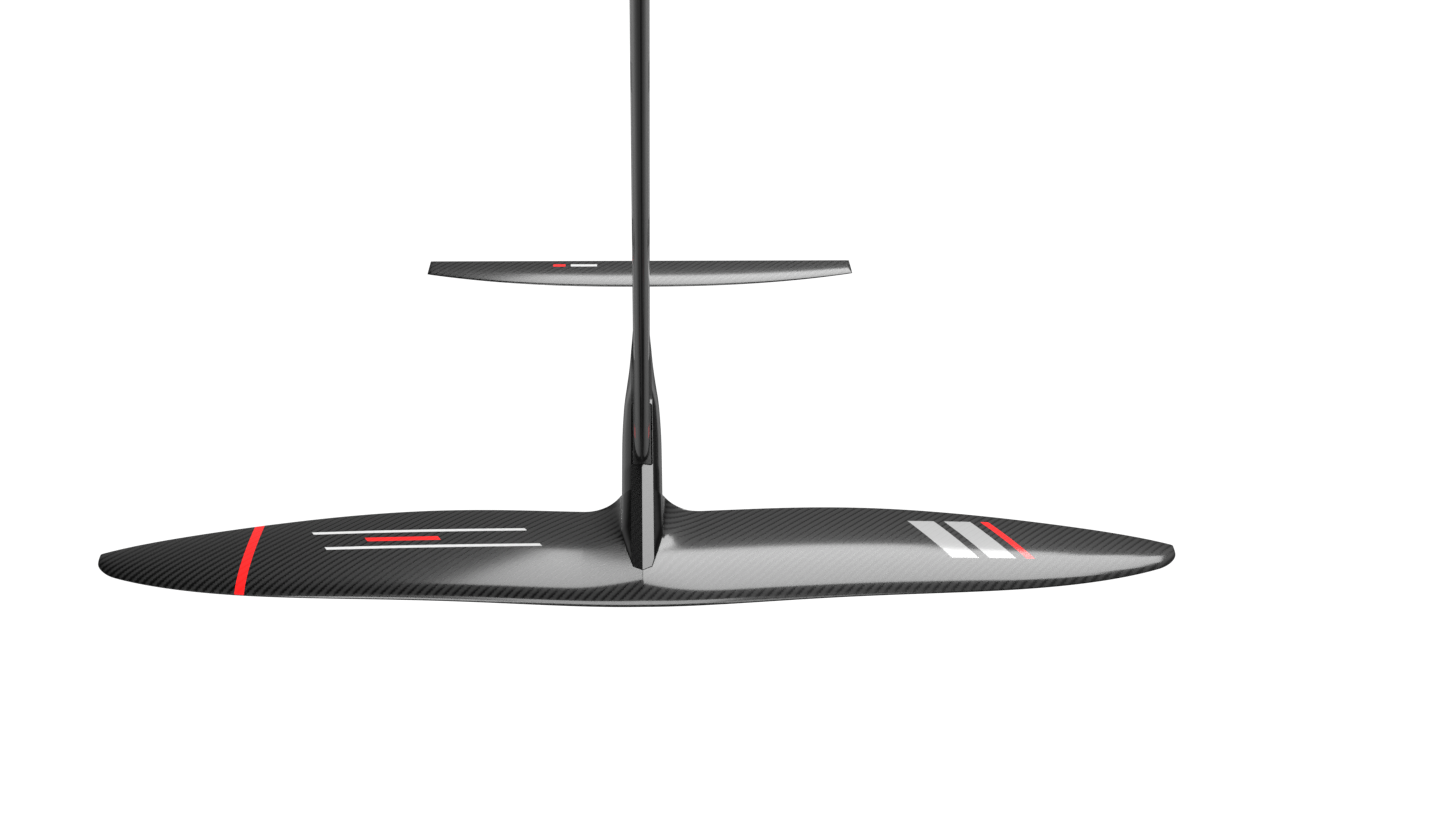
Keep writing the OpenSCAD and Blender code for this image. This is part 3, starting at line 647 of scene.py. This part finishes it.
def groove():
    """Room for the fuselage in the wing: one cutter around its tongue, and one behind its shoulder."""
    side = HALF_BODY + SLIP_GAP
    back = SHOULDER_Y + 2 * SADDLE_REACH
    ys = [BODY_NOSE - SLIP_GAP] + [y - SLIP_GAP for y in tongue_ys()]
    half = [body_half(y + SLIP_GAP) + SLIP_GAP for y in ys]
    ys.append(SHOULDER_Y + OVERRUN)
    half.append(side - OVERRUN)
    plan = list(zip(half, ys)) + [(-w, y) for w, y in zip(reversed(half), reversed(ys))]
    butt = [(side, SHOULDER_Y), (side, back), (-side, back), (-side, SHOULDER_Y)]
    return [prism("cutter", plan, FLOOR_Z, CUT_REACH), prism("cutter", butt, -CUT_REACH, CUT_REACH)]


def core_room(side):
    """Room for the foam core in one half of the wing."""
    u = [mix(CORE_FRONT, CORE_AFT, s) for s in shares(CORE_STEPS)]
    rings = []
    for i in range(CORE_STATIONS + 1):
        x = side * mix(CORE_ROOT - BOND_GAP, CORE_TIP + BOND_GAP, i / CORE_STATIONS)
        ring = [core_point(x, s, 1) for s in reversed(u)] + [core_point(x, s, -1) for s in u]
        rings.append([in_place(p) for p in ring])
    return loft("cutter", rings)


def tongue_ys():
    """Stations along the tongue: its raked front, then its sides."""
    start = BODY_NOSE + NOSE_START
    rake = [mix(start, NOSE_CORNER_Y, i / RAKE_STATIONS) for i in range(RAKE_STATIONS + 1)]
    ways = [(i / TONGUE_STATIONS) ** TONGUE_EASE for i in range(1, TONGUE_STATIONS + 1)]
    return rake + [mix(NOSE_CORNER_Y, TONGUE_AFT_Y, t) for t in ways]


def shoulder_drop(q):
    """Share of its fall that the shoulder has made: it starts with a slope and rounds over."""
    return SHOULDER_SLOPE * q + (1 - SHOULDER_SLOPE) * (1 - math.sqrt(1 - q * q))


def body_ring(y, tongue):
    """Section of the fuselage: ridge, eave, shoulder, flank, bilge and belly, the same on both sides."""
    w, low, eave = body_half(y), belly_z(y, tongue), eave_z(y)
    bilge = min(BILGE_HEIGHT, BILGE_HEIGHT_SHARE * (eave - low))
    drop = round_over(y, tongue)
    half = [(0.0, ridge_z(y))]
    for i in range(SHOULDER_STEPS + 1):
        q = eased(i, SHOULDER_STEPS)
        half.append((mix(roof_x(y), w, q), eave - drop * shoulder_drop(q)))
    for i in range(BILGE_STEPS + 1):
        a = math.pi / 2 * i / BILGE_STEPS
        if tongue:
            half.append((w * (1 - BILGE_SHARE * i / BILGE_STEPS), low))
        else:
            half.append((w * (1 - BILGE_SHARE * (1 - math.cos(a))), low + bilge * (1 - math.sin(a))))
    half.append((0.0, low))
    ring = [(x, y, z) for x, z in half] + [(-x, y, z) for x, z in reversed(half[1:-1])]
    return [in_place(p) for p in ring]


def fuselage():
    start = TONGUE_AFT_Y + SHOULDER_STEP
    spans = [
        (start, RIDGE_CREST_Y, RISE_STATIONS),
        (RIDGE_CREST_Y, TAPER_START_Y, TOWER_STATIONS),
        (TAPER_START_Y, RAMP_Y, TAPER_STATIONS),
        (RAMP_Y, SEAT_START_Y, RAMP_STATIONS),
        (SEAT_START_Y, BODY_AFT_Y - BOOM_ROUND, SEAT_STATIONS),
    ]
    rings = [body_ring(y, True) for y in tongue_ys()]
    rings.append(body_ring(start, False))
    for a, b, n in spans:
        rings += [body_ring(mix(a, b, i / n), False) for i in range(1, n + 1)]
    for i in range(1, END_STATIONS + 1):
        rings.append(body_ring(BODY_AFT_Y - BOOM_ROUND * (1 - eased(i, END_STATIONS)), False))
    body = loft("fuselage_skin", rings)
    tools = [pocket()]
    tools += [screw_cutter(SCREW, (0, y, -BODY_BELLY), 1, MAST_SCREW_CUT) for y in MAST_SCREW_YS]
    tools += [insert_bore(SCREW, (0, y, FLOOR_Z), 1, WING_INSERT_LENGTH) for y in WING_SCREW_YS]
    tools += [insert_bore(TAIL_SCREW, (0, y, SEAT_Z), -1, TAIL_INSERT_LENGTH) for y in TAIL_SCREW_YS]
    return shade(combine(body, tools), BODY_CREASE)


def pocket():
    """Room for the mast's foot, with a small bevel around its mouth that follows the roof."""
    def outline(grow):
        length = MAST_CHORD + 2 * (FOOT_MARGIN + grow)
        corner = FOOT_CORNER + grow
        return split_at_ridge(rounded_outline(FOOT_WIDTH + 2 * grow, length, corner, MAST_MID_Y))

    def roof(x):
        return BODY_TOP - abs(x) * math.tan(ROOF_SLOPE)

    inner, mouth = outline(SLIP_GAP), outline(SLIP_GAP + POCKET_RIM + OVERRUN)
    rings = [[(x, y, BODY_TOP - FOOT_DEPTH) for x, y in inner]]
    rings.append([(x, y, roof(x) - POCKET_RIM) for x, y in inner])
    rings.append([(x, y, roof(x) + OVERRUN) for x, y in mouth])
    rings.append([(x, y, BODY_TOP + CUT_PROUD) for x, y in mouth])
    return loft("cutter", [[in_place(p) for p in ring] for ring in rings])


def mast():
    ends = (MAST_LOW_Z - SKIRT, MAST_HIGH_Z)
    blade = loft("mast_skin", foil_rings(mast_point, ends, MAST_STEPS, in_metres))
    hollow = [hollow_ring(z) for z in (MAST_LOW_Z - 2 * SKIRT, MAST_HIGH_Z + SKIRT)]
    return shade(combine(blade, [roof_cutter(), loft("cutter", hollow)]), MAST_CREASE)


def roof_cutter():
    """The fuselage's roof around the mast, to which the mast's lower end is trimmed."""
    wide, low = 2 * FOOT_WIDTH, BODY_TOP - ROOF_CUT_DEPTH
    eave = BODY_TOP - wide * math.tan(ROOF_SLOPE)
    section = [(0, BODY_TOP), (wide, eave), (wide, low), (-wide, low), (-wide, eave)]
    ends = (0.0, MAST_AFT_Y + CUT_REACH)
    return loft("cutter", [[in_place((x, y, z)) for x, z in section] for y in ends])


def hollow_ring(z):
    """Section of the room inside the mast's skin."""
    u = [mix(HOLLOW_FRONT, HOLLOW_AFT, s) for s in shares(MAST_STEPS)]
    skin = [mast_point(z, s, 1) for s in u]
    right = [(x - MAST_WALL, y, z) for x, y, _ in skin]
    left = [(-x, y, z) for x, y, _ in right]
    return [in_metres(p) for p in right[::-1] + left]


def stabiliser():
    xs = [TAIL_TIP_ROUND * TAIL_HALF * i / TAIL_STATIONS for i in range(TAIL_STATIONS + 1)]
    tip = range(1, TAIL_TIP_STATIONS + 1)
    xs += [TAIL_HALF * mix(TAIL_TIP_ROUND, 1, eased(i, TAIL_TIP_STATIONS)) for i in tip]
    tail = loft("stabiliser_skin", foil_rings(tail_point, both_sides(xs), TAIL_STEPS, in_place))
    outline = rounded_outline(PAD_WIDTH, PAD_LENGTH, PAD_CORNER, PAD_MID_Y)
    combine(tail, [prism("pad", outline, PAD_Z, 0.0)], "UNION")
    heads = [(0, y, tail_top_z(y) - RECESS / 2) for y in TAIL_SCREW_YS]
    tools = [screw_cutter(TAIL_SCREW, head, -1, TAIL_SCREW_CUT) for head in heads]
    return shade(combine(tail, tools), TAIL_CREASE)


# Materials
class Graph:
    """Short calls for the nodes of a material or of the world."""

    def __init__(self, owner, shader="Principled BSDF"):
        owner.use_nodes = True
        self.owner = owner
        self.nodes = owner.node_tree.nodes
        self.links = owner.node_tree.links
        self.shader = self.nodes[shader]

    def put(self, socket, value):
        if isinstance(value, bpy.types.NodeSocket):
            self.links.new(value, socket)
        else:
            socket.default_value = value

    def set(self, **values):
        """Put values on the shader's own sockets."""
        for name, value in values.items():
            self.put(self.shader.inputs[name.replace("_", " ")], value)

    def math(self, operation, a, b=0.0, c=0.0):
        node = self.nodes.new("ShaderNodeMath")
        node.operation = operation
        for socket, value in zip(node.inputs, (a, b, c)):
            self.put(socket, value)
        return node.outputs[0]

    def parts(self, vector):
        """The three parts of a vector."""
        split = self.nodes.new("ShaderNodeSeparateXYZ")
        self.links.new(vector, split.inputs[0])
        return split.outputs

    def spot(self, space="Object"):
        """Where the surface is: for a piece, in metres in the part's frame."""
        return self.nodes.new("ShaderNodeTexCoord").outputs[space]

    def facing(self):
        """The three parts of the surface's direction."""
        return self.parts(self.nodes.new("ShaderNodeNewGeometry").outputs["Normal"])

    def band(self, value, low, high):
        """1 between two values, and 0 elsewhere."""
        above = self.math("GREATER_THAN", value, low)
        return self.math("MULTIPLY", above, self.math("LESS_THAN", value, high))

    def patch(self, *limits):
        """1 where each value lies between its two limits."""
        inside = 1.0
        for value, low, high in limits:
            inside = self.math("MULTIPLY", inside, self.band(value, low, high))
        return inside

    def noise(self, vector, scale, detail=2.0, stretch=(1.0, 1.0, 1.0)):
        mapping = self.nodes.new("ShaderNodeMapping")
        mapping.inputs["Scale"].default_value = stretch
        self.links.new(vector, mapping.inputs["Vector"])
        node = self.nodes.new("ShaderNodeTexNoise")
        node.inputs["Scale"].default_value = scale
        node.inputs["Detail"].default_value = detail
        self.links.new(mapping.outputs[0], node.inputs["Vector"])
        return node.outputs["Fac"]

    def ramp(self, value, low, high, out_low, out_high):
        node = self.nodes.new("ShaderNodeMapRange")
        for socket, v in zip(node.inputs, (value, low, high, out_low, out_high)):
            self.put(socket, v)
        return node.outputs[0]

    def blend(self, share, a, b):
        """Mix of two colours, which a mix node takes on its sockets 6 and 7."""
        node = self.nodes.new("ShaderNodeMix")
        node.data_type = "RGBA"
        self.put(node.inputs[0], share)
        self.put(node.inputs[6], a)
        self.put(node.inputs[7], b)
        return node.outputs[2]

    def bump(self, height, strength):
        node = self.nodes.new("ShaderNodeBump")
        node.inputs["Strength"].default_value = strength
        node.inputs["Distance"].default_value = BUMP_HEIGHT
        self.links.new(height, node.inputs["Height"])
        self.links.new(node.outputs[0], self.shader.inputs["Normal"])

    def white_to_camera(self, dim):
        """Full strength to the camera and a dim one to everything else."""
        seen = self.nodes.new("ShaderNodeLightPath").outputs["Is Camera Ray"]
        return self.ramp(seen, 0.0, 1.0, dim, WHITE_STRENGTH)


def grey(v):
    return (v, v, v, 1.0)


def material(name):
    return Graph(bpy.data.materials.new(name))


# Inks and weave, with lengths in metres
RED = (0.95, 0.012, 0.012, 1.0)
PALE = grey(0.65)
PEWTER = grey(0.4)
BUMP_HEIGHT = 0.0001
TOW = 0.0022
TOWS_TO_REPEAT = 4.0
CRISP_SHARE = 0.4
WEAVE_SHARE = 0.85
FIBRE_SCALE = 1400.0
CLOUD_SCALE = 9.0
DRAPE_REACH = 0.05
DRAPE_SHIFT = 16 * TOW
NOSE_M = (BODY_NOSE + WING_Y) * MM
FLANK_FACING = 0.75

# Printed marks, in metres in the part's frame, and how far the surface under them faces up or aside
FACES_UP = (0.2, 2.0)
FACES_ASIDE = (0.8, 2.0)
MARK_SLANT = 0.6
STRIPE_TILT = -0.05
STRIPE_X = (-0.3715, -0.3625)
LINE_X = (-0.385, -0.18)
LINE_YS = (-0.112, -0.138)
LINE_HALF = 0.002
DASH_X = (-0.34, -0.27)
DASH_Y = (-0.128, -0.122)
BAR_Y = (-0.16, -0.1)
BARS = ((0.2, 0.026, PEWTER), (0.236, 0.026, PEWTER), (0.272, 0.008, RED))
TAIL_AFT_M = (TAIL_AFT_Y + WING_Y) * MM
TAIL_DASH_Y = (TAIL_AFT_M - 0.013, TAIL_AFT_M - 0.008)
TAIL_PALE_X = (-0.08, -0.05)
TAIL_RED_X = (-0.1, -0.086)
MAST_LINE_Y = (-0.037, -0.018)
MAST_LINE_Z = (-0.66, -0.17)
MAST_LINE_PITCH = 0.16
MAST_LINE_DASH = 0.13
MAST_RED_Y = (-0.036, -0.028)
MAST_RED_Z = (-0.738, -0.724)


def twill(g, a, b):
    """Two-by-two twill over two coordinates: near 1 on the tows that run one way, near 0 on the others."""
    col = g.math("DIVIDE", a, TOW)
    row = g.math("DIVIDE", b, TOW)
    step = g.math("SUBTRACT", g.math("FLOOR", col), g.math("FLOOR", row))
    over = g.math("LESS_THAN", g.math("FLOORED_MODULO", step, TOWS_TO_REPEAT), TOWS_TO_REPEAT / 2)
    lean = g.math("MULTIPLY", g.math("SUBTRACT", col, row), 2 * math.pi / TOWS_TO_REPEAT)
    wave = g.math("MULTIPLY_ADD", g.math("SINE", lean), 0.5, 0.5)
    return g.math("ADD", g.math("MULTIPLY", over, CRISP_SHARE), g.math("MULTIPLY", wave, 1 - CRISP_SHARE))


def carbon_base(g, a, b, keen, dull, rough, coat, gloss):
    """Clear gloss over a twill whose tows reflect like metal, some keenly and some dully."""
    fibre, cloud = g.noise(g.spot(), FIBRE_SCALE), g.noise(g.spot(), CLOUD_SCALE)
    tone = g.math("MULTIPLY", g.math("ADD", fibre, cloud), 0.5)
    share = g.math("MULTIPLY_ADD", twill(g, a, b), WEAVE_SHARE, g.math("MULTIPLY", tone, 1 - WEAVE_SHARE))
    g.set(Metallic=1.0, Roughness=g.ramp(share, 0.0, 1.0, *rough), Specular_IOR_Level=0.1)
    g.set(Coat_Weight=coat, Coat_Roughness=gloss, Coat_IOR=1.5)
    return g.blend(share, grey(keen), grey(dull))


def print_on(g, base, marks):
    """Lay flat ink over the fibres: each mark is a mask and its colour. Gives back where the ink lies."""
    cover = 0.0
    for mask, colour in marks:
        base = g.blend(mask, base, colour)
        cover = g.math("MAXIMUM", cover, mask)
    g.set(Base_Color=base)
    return cover


def print_on_metal(g, base, marks):
    """The same where the fibres reflect like metal, which the ink doesn't."""
    g.set(Metallic=g.math("SUBTRACT", 1.0, print_on(g, base, marks)))


def draped(g, x, y):
    """The cloth's own coordinate across the span: it gathers where it climbs the saddle."""
    behind = g.ramp(y, NOSE_M, NOSE_M + DRAPE_REACH, 0.0, 1.0)
    fade = g.math("EXPONENT", g.math("DIVIDE", g.math("ABSOLUTE", x), -DRAPE_REACH))
    pull = g.math("MULTIPLY", g.math("MULTIPLY", fade, behind), g.math("SIGN", x))
    return g.math("MULTIPLY_ADD", pull, DRAPE_SHIFT, x)


def wing_carbon():
    """Wing with a red stripe, two pale lines on the left and slanted bars on the right."""
    g = material("carbon_wing_gloss")
    x, y, _ = g.parts(g.spot())
    cloth = draped(g, x, y)
    base = carbon_base(g, cloth, y, keen=0.011, dull=0.037, rough=(0.22, 0.64), coat=0.97, gloss=0.11)
    top = (g.facing()[2], *FACES_UP)
    slant = g.math("MULTIPLY_ADD", y, MARK_SLANT, x)
    tilt = g.math("MULTIPLY_ADD", y, STRIPE_TILT, x)
    marks = [(g.patch(top, (tilt, *STRIPE_X)), RED)]
    for aft in LINE_YS:
        marks.append((g.patch(top, (slant, *LINE_X), (y, aft - LINE_HALF, aft + LINE_HALF)), PALE))
    marks.append((g.patch(top, (slant, *DASH_X), (y, *DASH_Y)), RED))
    for left, wide, ink in BARS:
        marks.append((g.patch(top, (slant, left, left + wide), (y, *BAR_Y)), ink))
    print_on_metal(g, base, marks)
    return g.owner


def tail_carbon():
    """Stabiliser with a pale and a red dash near its trailing edge."""
    g = material("carbon_tail_gloss")
    x, y, _ = g.parts(g.spot())
    base = carbon_base(g, x, y, keen=0.011, dull=0.03, rough=(0.22, 0.6), coat=1.0, gloss=0.14)
    top = (g.facing()[2], *FACES_UP)
    marks = []
    for across, ink in ((TAIL_PALE_X, PALE), (TAIL_RED_X, RED)):
        marks.append((g.patch(top, (y, *TAIL_DASH_Y), (x, *across)), ink))
    print_on_metal(g, base, marks)
    return g.owner


def side_carbon(name):
    """Twill laid on the top and bottom in plan, and on the flanks in side view."""
    g = material(name)
    x, y, z = g.parts(g.spot())
    flank = g.math("GREATER_THAN", g.math("ABSOLUTE", g.facing()[0]), FLANK_FACING)
    level = g.math("SUBTRACT", 1.0, flank)
    across = g.math("ADD", g.math("MULTIPLY", z, flank), g.math("MULTIPLY", x, level))
    base = carbon_base(g, across, y, keen=0.01, dull=0.012, rough=(0.3, 0.38), coat=0.85, gloss=0.06)
    g.set(Base_Color=base)
    return g.owner


def mast_carbon():
    """Satin skin with fibres along the mast, a dashed pale line on its flanks and a red mark low down."""
    g = material("carbon_mast_satin")
    _, y, z = g.parts(g.spot())
    fibre = g.noise(g.spot(), 260.0, detail=3.0, stretch=(6.0, 6.0, 0.05))
    base = g.blend(fibre, grey(0.004), grey(0.011))
    flank = (g.math("ABSOLUTE", g.facing()[0]), *FACES_ASIDE)
    beat = g.math("FLOORED_MODULO", z, MAST_LINE_PITCH)
    pale = g.patch(flank, (beat, 0.0, MAST_LINE_DASH), (y, *MAST_LINE_Y), (z, *MAST_LINE_Z))
    low = g.patch(flank, (y, *MAST_RED_Y), (z, *MAST_RED_Z))
    print_on(g, base, [(pale, PALE), (low, RED)])
    g.set(Roughness=g.ramp(fibre, 0.0, 1.0, 0.36, 0.5))
    g.set(Specular_IOR_Level=0.1, Coat_Weight=1.0, Coat_Roughness=0.1)
    g.bump(fibre, 0.06)
    return g.owner


def satin_steel():
    g = material("stainless_satin")
    grain = g.noise(g.spot(), 700.0, detail=3.0, stretch=(1.0, 1.0, 0.2))
    g.set(Base_Color=g.blend(grain, grey(0.42), grey(0.6)), Metallic=1.0)
    g.set(Roughness=g.ramp(grain, 0.0, 1.0, 0.22, 0.4))
    g.bump(grain, 0.05)
    return g.owner


def speckled(name, low, high, scale, rough, gloss=0.5, spread=0.15):
    """Fine speckle between two colours, a little rougher towards the second."""
    g = material(name)
    grain = g.noise(g.spot(), scale, detail=3.0)
    g.set(Base_Color=g.blend(grain, low, high), Roughness=g.ramp(grain, 0.0, 1.0, rough, rough + spread))
    g.set(Specular_IOR_Level=gloss)
    g.bump(grain, 0.1)
    return g.owner


def dress(piece, finish):
    piece.data.materials.clear()
    piece.data.materials.append(finish)


def stand_for(piece, node, finish):
    dress(piece, finish)
    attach(piece, "root")
    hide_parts(node)


stand_for(front_wing(), "front_wing", wing_carbon())
stand_for(fuselage(), "fuselage", side_carbon("carbon_fuselage_gloss"))
stand_for(mast(), "mast", mast_carbon())
stand_for(stabiliser(), "stabiliser", tail_carbon())

# Finishes of the nodes that stay as they are
FOAM_DARK = (0.55, 0.48, 0.3, 1.0)
FOAM_LIGHT = (0.75, 0.69, 0.5, 1.0)
steel = satin_steel()
finishes = {
    "screw_steel": steel,
    "insert_steel": steel,
    "black_alloy": speckled("black_anodised", grey(0.008), grey(0.016), scale=1500.0, rough=0.4, gloss=0.15),
    "shim_plastic": speckled("black_nylon", grey(0.03), grey(0.05), scale=900.0, rough=0.5),
    "foam": speckled("structural_foam", FOAM_DARK, FOAM_LIGHT, scale=400.0, rough=0.8),
    "carbon_plate": side_carbon("carbon_plate_gloss"),
    "carbon_mast": side_carbon("carbon_web"),
}
for entry in frame["record"]["subparts"]:
    if entry["material_slot"] in finishes:
        dress(frame["nodes"][entry["node"]], finishes[entry["material_slot"]])


# Camera, in metres
CAMERA_PLACE = Vector((-0.00119, -1.5607, 0.52224))
CAMERA_YAW = math.radians(2.9956)
CAMERA_PITCH = math.radians(38.6186)
CAMERA_ROLL = math.radians(1.5435)
CAMERA_LENS = 50.0
CAMERA_SENSOR = 36.0

# Floor and room: a glow is the range of the value that it follows, then its strength at both ends
WHITE_STRENGTH = 1.1
GROUND_HALF = 6.0
GROUND_CELLS = 8
GROUND_MID_Y = 3.75
GROUND_DROP = 2.2
GROUND_GLOW = (0.5, 2.8, 0.03, 0.5)
ROOM_CLIMB = 4.0
ROOM_GLOW = (-0.5, 0.4, 0.06, 0.4)

# Softboxes overhead from left to right: left, right, near and far edge in metres, and radiance
KEY_HEIGHT = 4.2
KEYS = (
    (-1.02, 0.0, 1.75, 7.9, 7.4),
    (0.0, 1.5, 1.2, 7.9, 7.9),
    (1.5, 2.3, 1.0, 7.4, 7.9),
    (2.3, 2.75, 1.9, 6.8, 7.9),
    (2.75, 3.1, 2.8, 6.0, 7.9),
)

# Two ways to stand a panel behind or over the camera: its y, height, length and tilt
UPRIGHT = (-3.2, 0.2, 3.2, math.radians(90))
LEANING = (-2.25, 1.95, 2.6, math.radians(37))

# Those panels: name, left and right edge in metres, stand and radiance
FRONTS = (
    ("front_left", -1.25, -0.82, UPRIGHT, 8.0),
    ("front_right", 0.62, 0.92, UPRIGHT, 4.5),
    ("front_high", -0.82, 0.62, LEANING, 6.5),
)


def floor():
    """A pale floor well below the set, so that no shadow of it shows."""
    bm = bmesh.new()
    bmesh.ops.create_grid(bm, x_segments=GROUND_CELLS, y_segments=GROUND_CELLS, size=GROUND_HALF)
    piece = new_object("studio_floor", bm)
    piece.location = (0, GROUND_MID_Y, cad_box[0][2] - GROUND_DROP)
    g = material("pale_floor")
    aside = g.math("ABSOLUTE", g.parts(g.spot())[0])
    g.set(Base_Color=grey(0.0), Specular_IOR_Level=0.0, Emission_Color=grey(1.0))
    g.set(Emission_Strength=g.white_to_camera(g.ramp(aside, *GROUND_GLOW)))
    dress(piece, g.owner)


def studio_world():
    """White to the camera, and to everything else a dim room, lighter high right and low left."""
    g = Graph(bpy.data.worlds.new("studio"), "Background")
    x, _, z = g.parts(g.spot("Generated"))
    climb = g.math("MULTIPLY_ADD", z, ROOM_CLIMB, -1.0)
    level = g.ramp(g.math("MULTIPLY", x, climb), *ROOM_GLOW)
    g.set(Color=grey(1.0), Strength=g.white_to_camera(level))
    bpy.context.scene.world = g.owner


def panel(name, centre, size, turn, radiance):
    """A soft light panel, which faces down before it is turned."""
    data = bpy.data.lights.new(name, "AREA")
    data.shape = "RECTANGLE"
    data.size, data.size_y = size
    data.energy = radiance * math.pi * size[0] * size[1]
    lamp = bpy.data.objects.new(name, data)
    lamp.location = centre
    lamp.rotation_euler = turn
    bpy.context.scene.collection.objects.link(lamp)


def overhead(name, left, right, near, far, radiance):
    """A level softbox over the set, squared up with the camera's heading."""
    middle = Vector(((left + right) / 2, (near + far) / 2, KEY_HEIGHT))
    heading = Matrix.Rotation(-CAMERA_YAW, 4, "Z")
    panel(name, heading @ middle, (right - left, far - near), (0, 0, -CAMERA_YAW), radiance)


def front_panel(name, left, right, stand, radiance):
    """A panel that faces the set from the camera's side."""
    y, z, length, tilt = stand
    panel(name, ((left + right) / 2, y, z), (right - left, length), (tilt, 0, 0), radiance)


def camera():
    level, fall = math.cos(CAMERA_PITCH), math.sin(CAMERA_PITCH)
    ahead = Vector((math.sin(CAMERA_YAW) * level, math.cos(CAMERA_YAW) * level, -fall))
    right = Vector((math.cos(CAMERA_YAW), -math.sin(CAMERA_YAW), 0))
    up = right.cross(ahead)
    rolled_right = right * math.cos(CAMERA_ROLL) + up * math.sin(CAMERA_ROLL)
    rolled_up = up * math.cos(CAMERA_ROLL) - right * math.sin(CAMERA_ROLL)
    data = bpy.data.cameras.new("camera")
    data.lens, data.sensor_width = CAMERA_LENS, CAMERA_SENSOR
    eye = bpy.data.objects.new("camera", data)
    rows = zip(rolled_right, rolled_up, -ahead, CAMERA_PLACE)
    eye.matrix_world = Matrix((*rows, (0, 0, 0, 1)))
    bpy.context.scene.collection.objects.link(eye)
    bpy.context.scene.camera = eye


floor()
studio_world()
for i, key in enumerate(KEYS, 1):
    overhead(f"key_{i}", *key)
for row in FRONTS:
    front_panel(*row)
bpy.context.scene.view_settings.view_transform = "Standard"
camera()

bpy.context.view_layer.update()
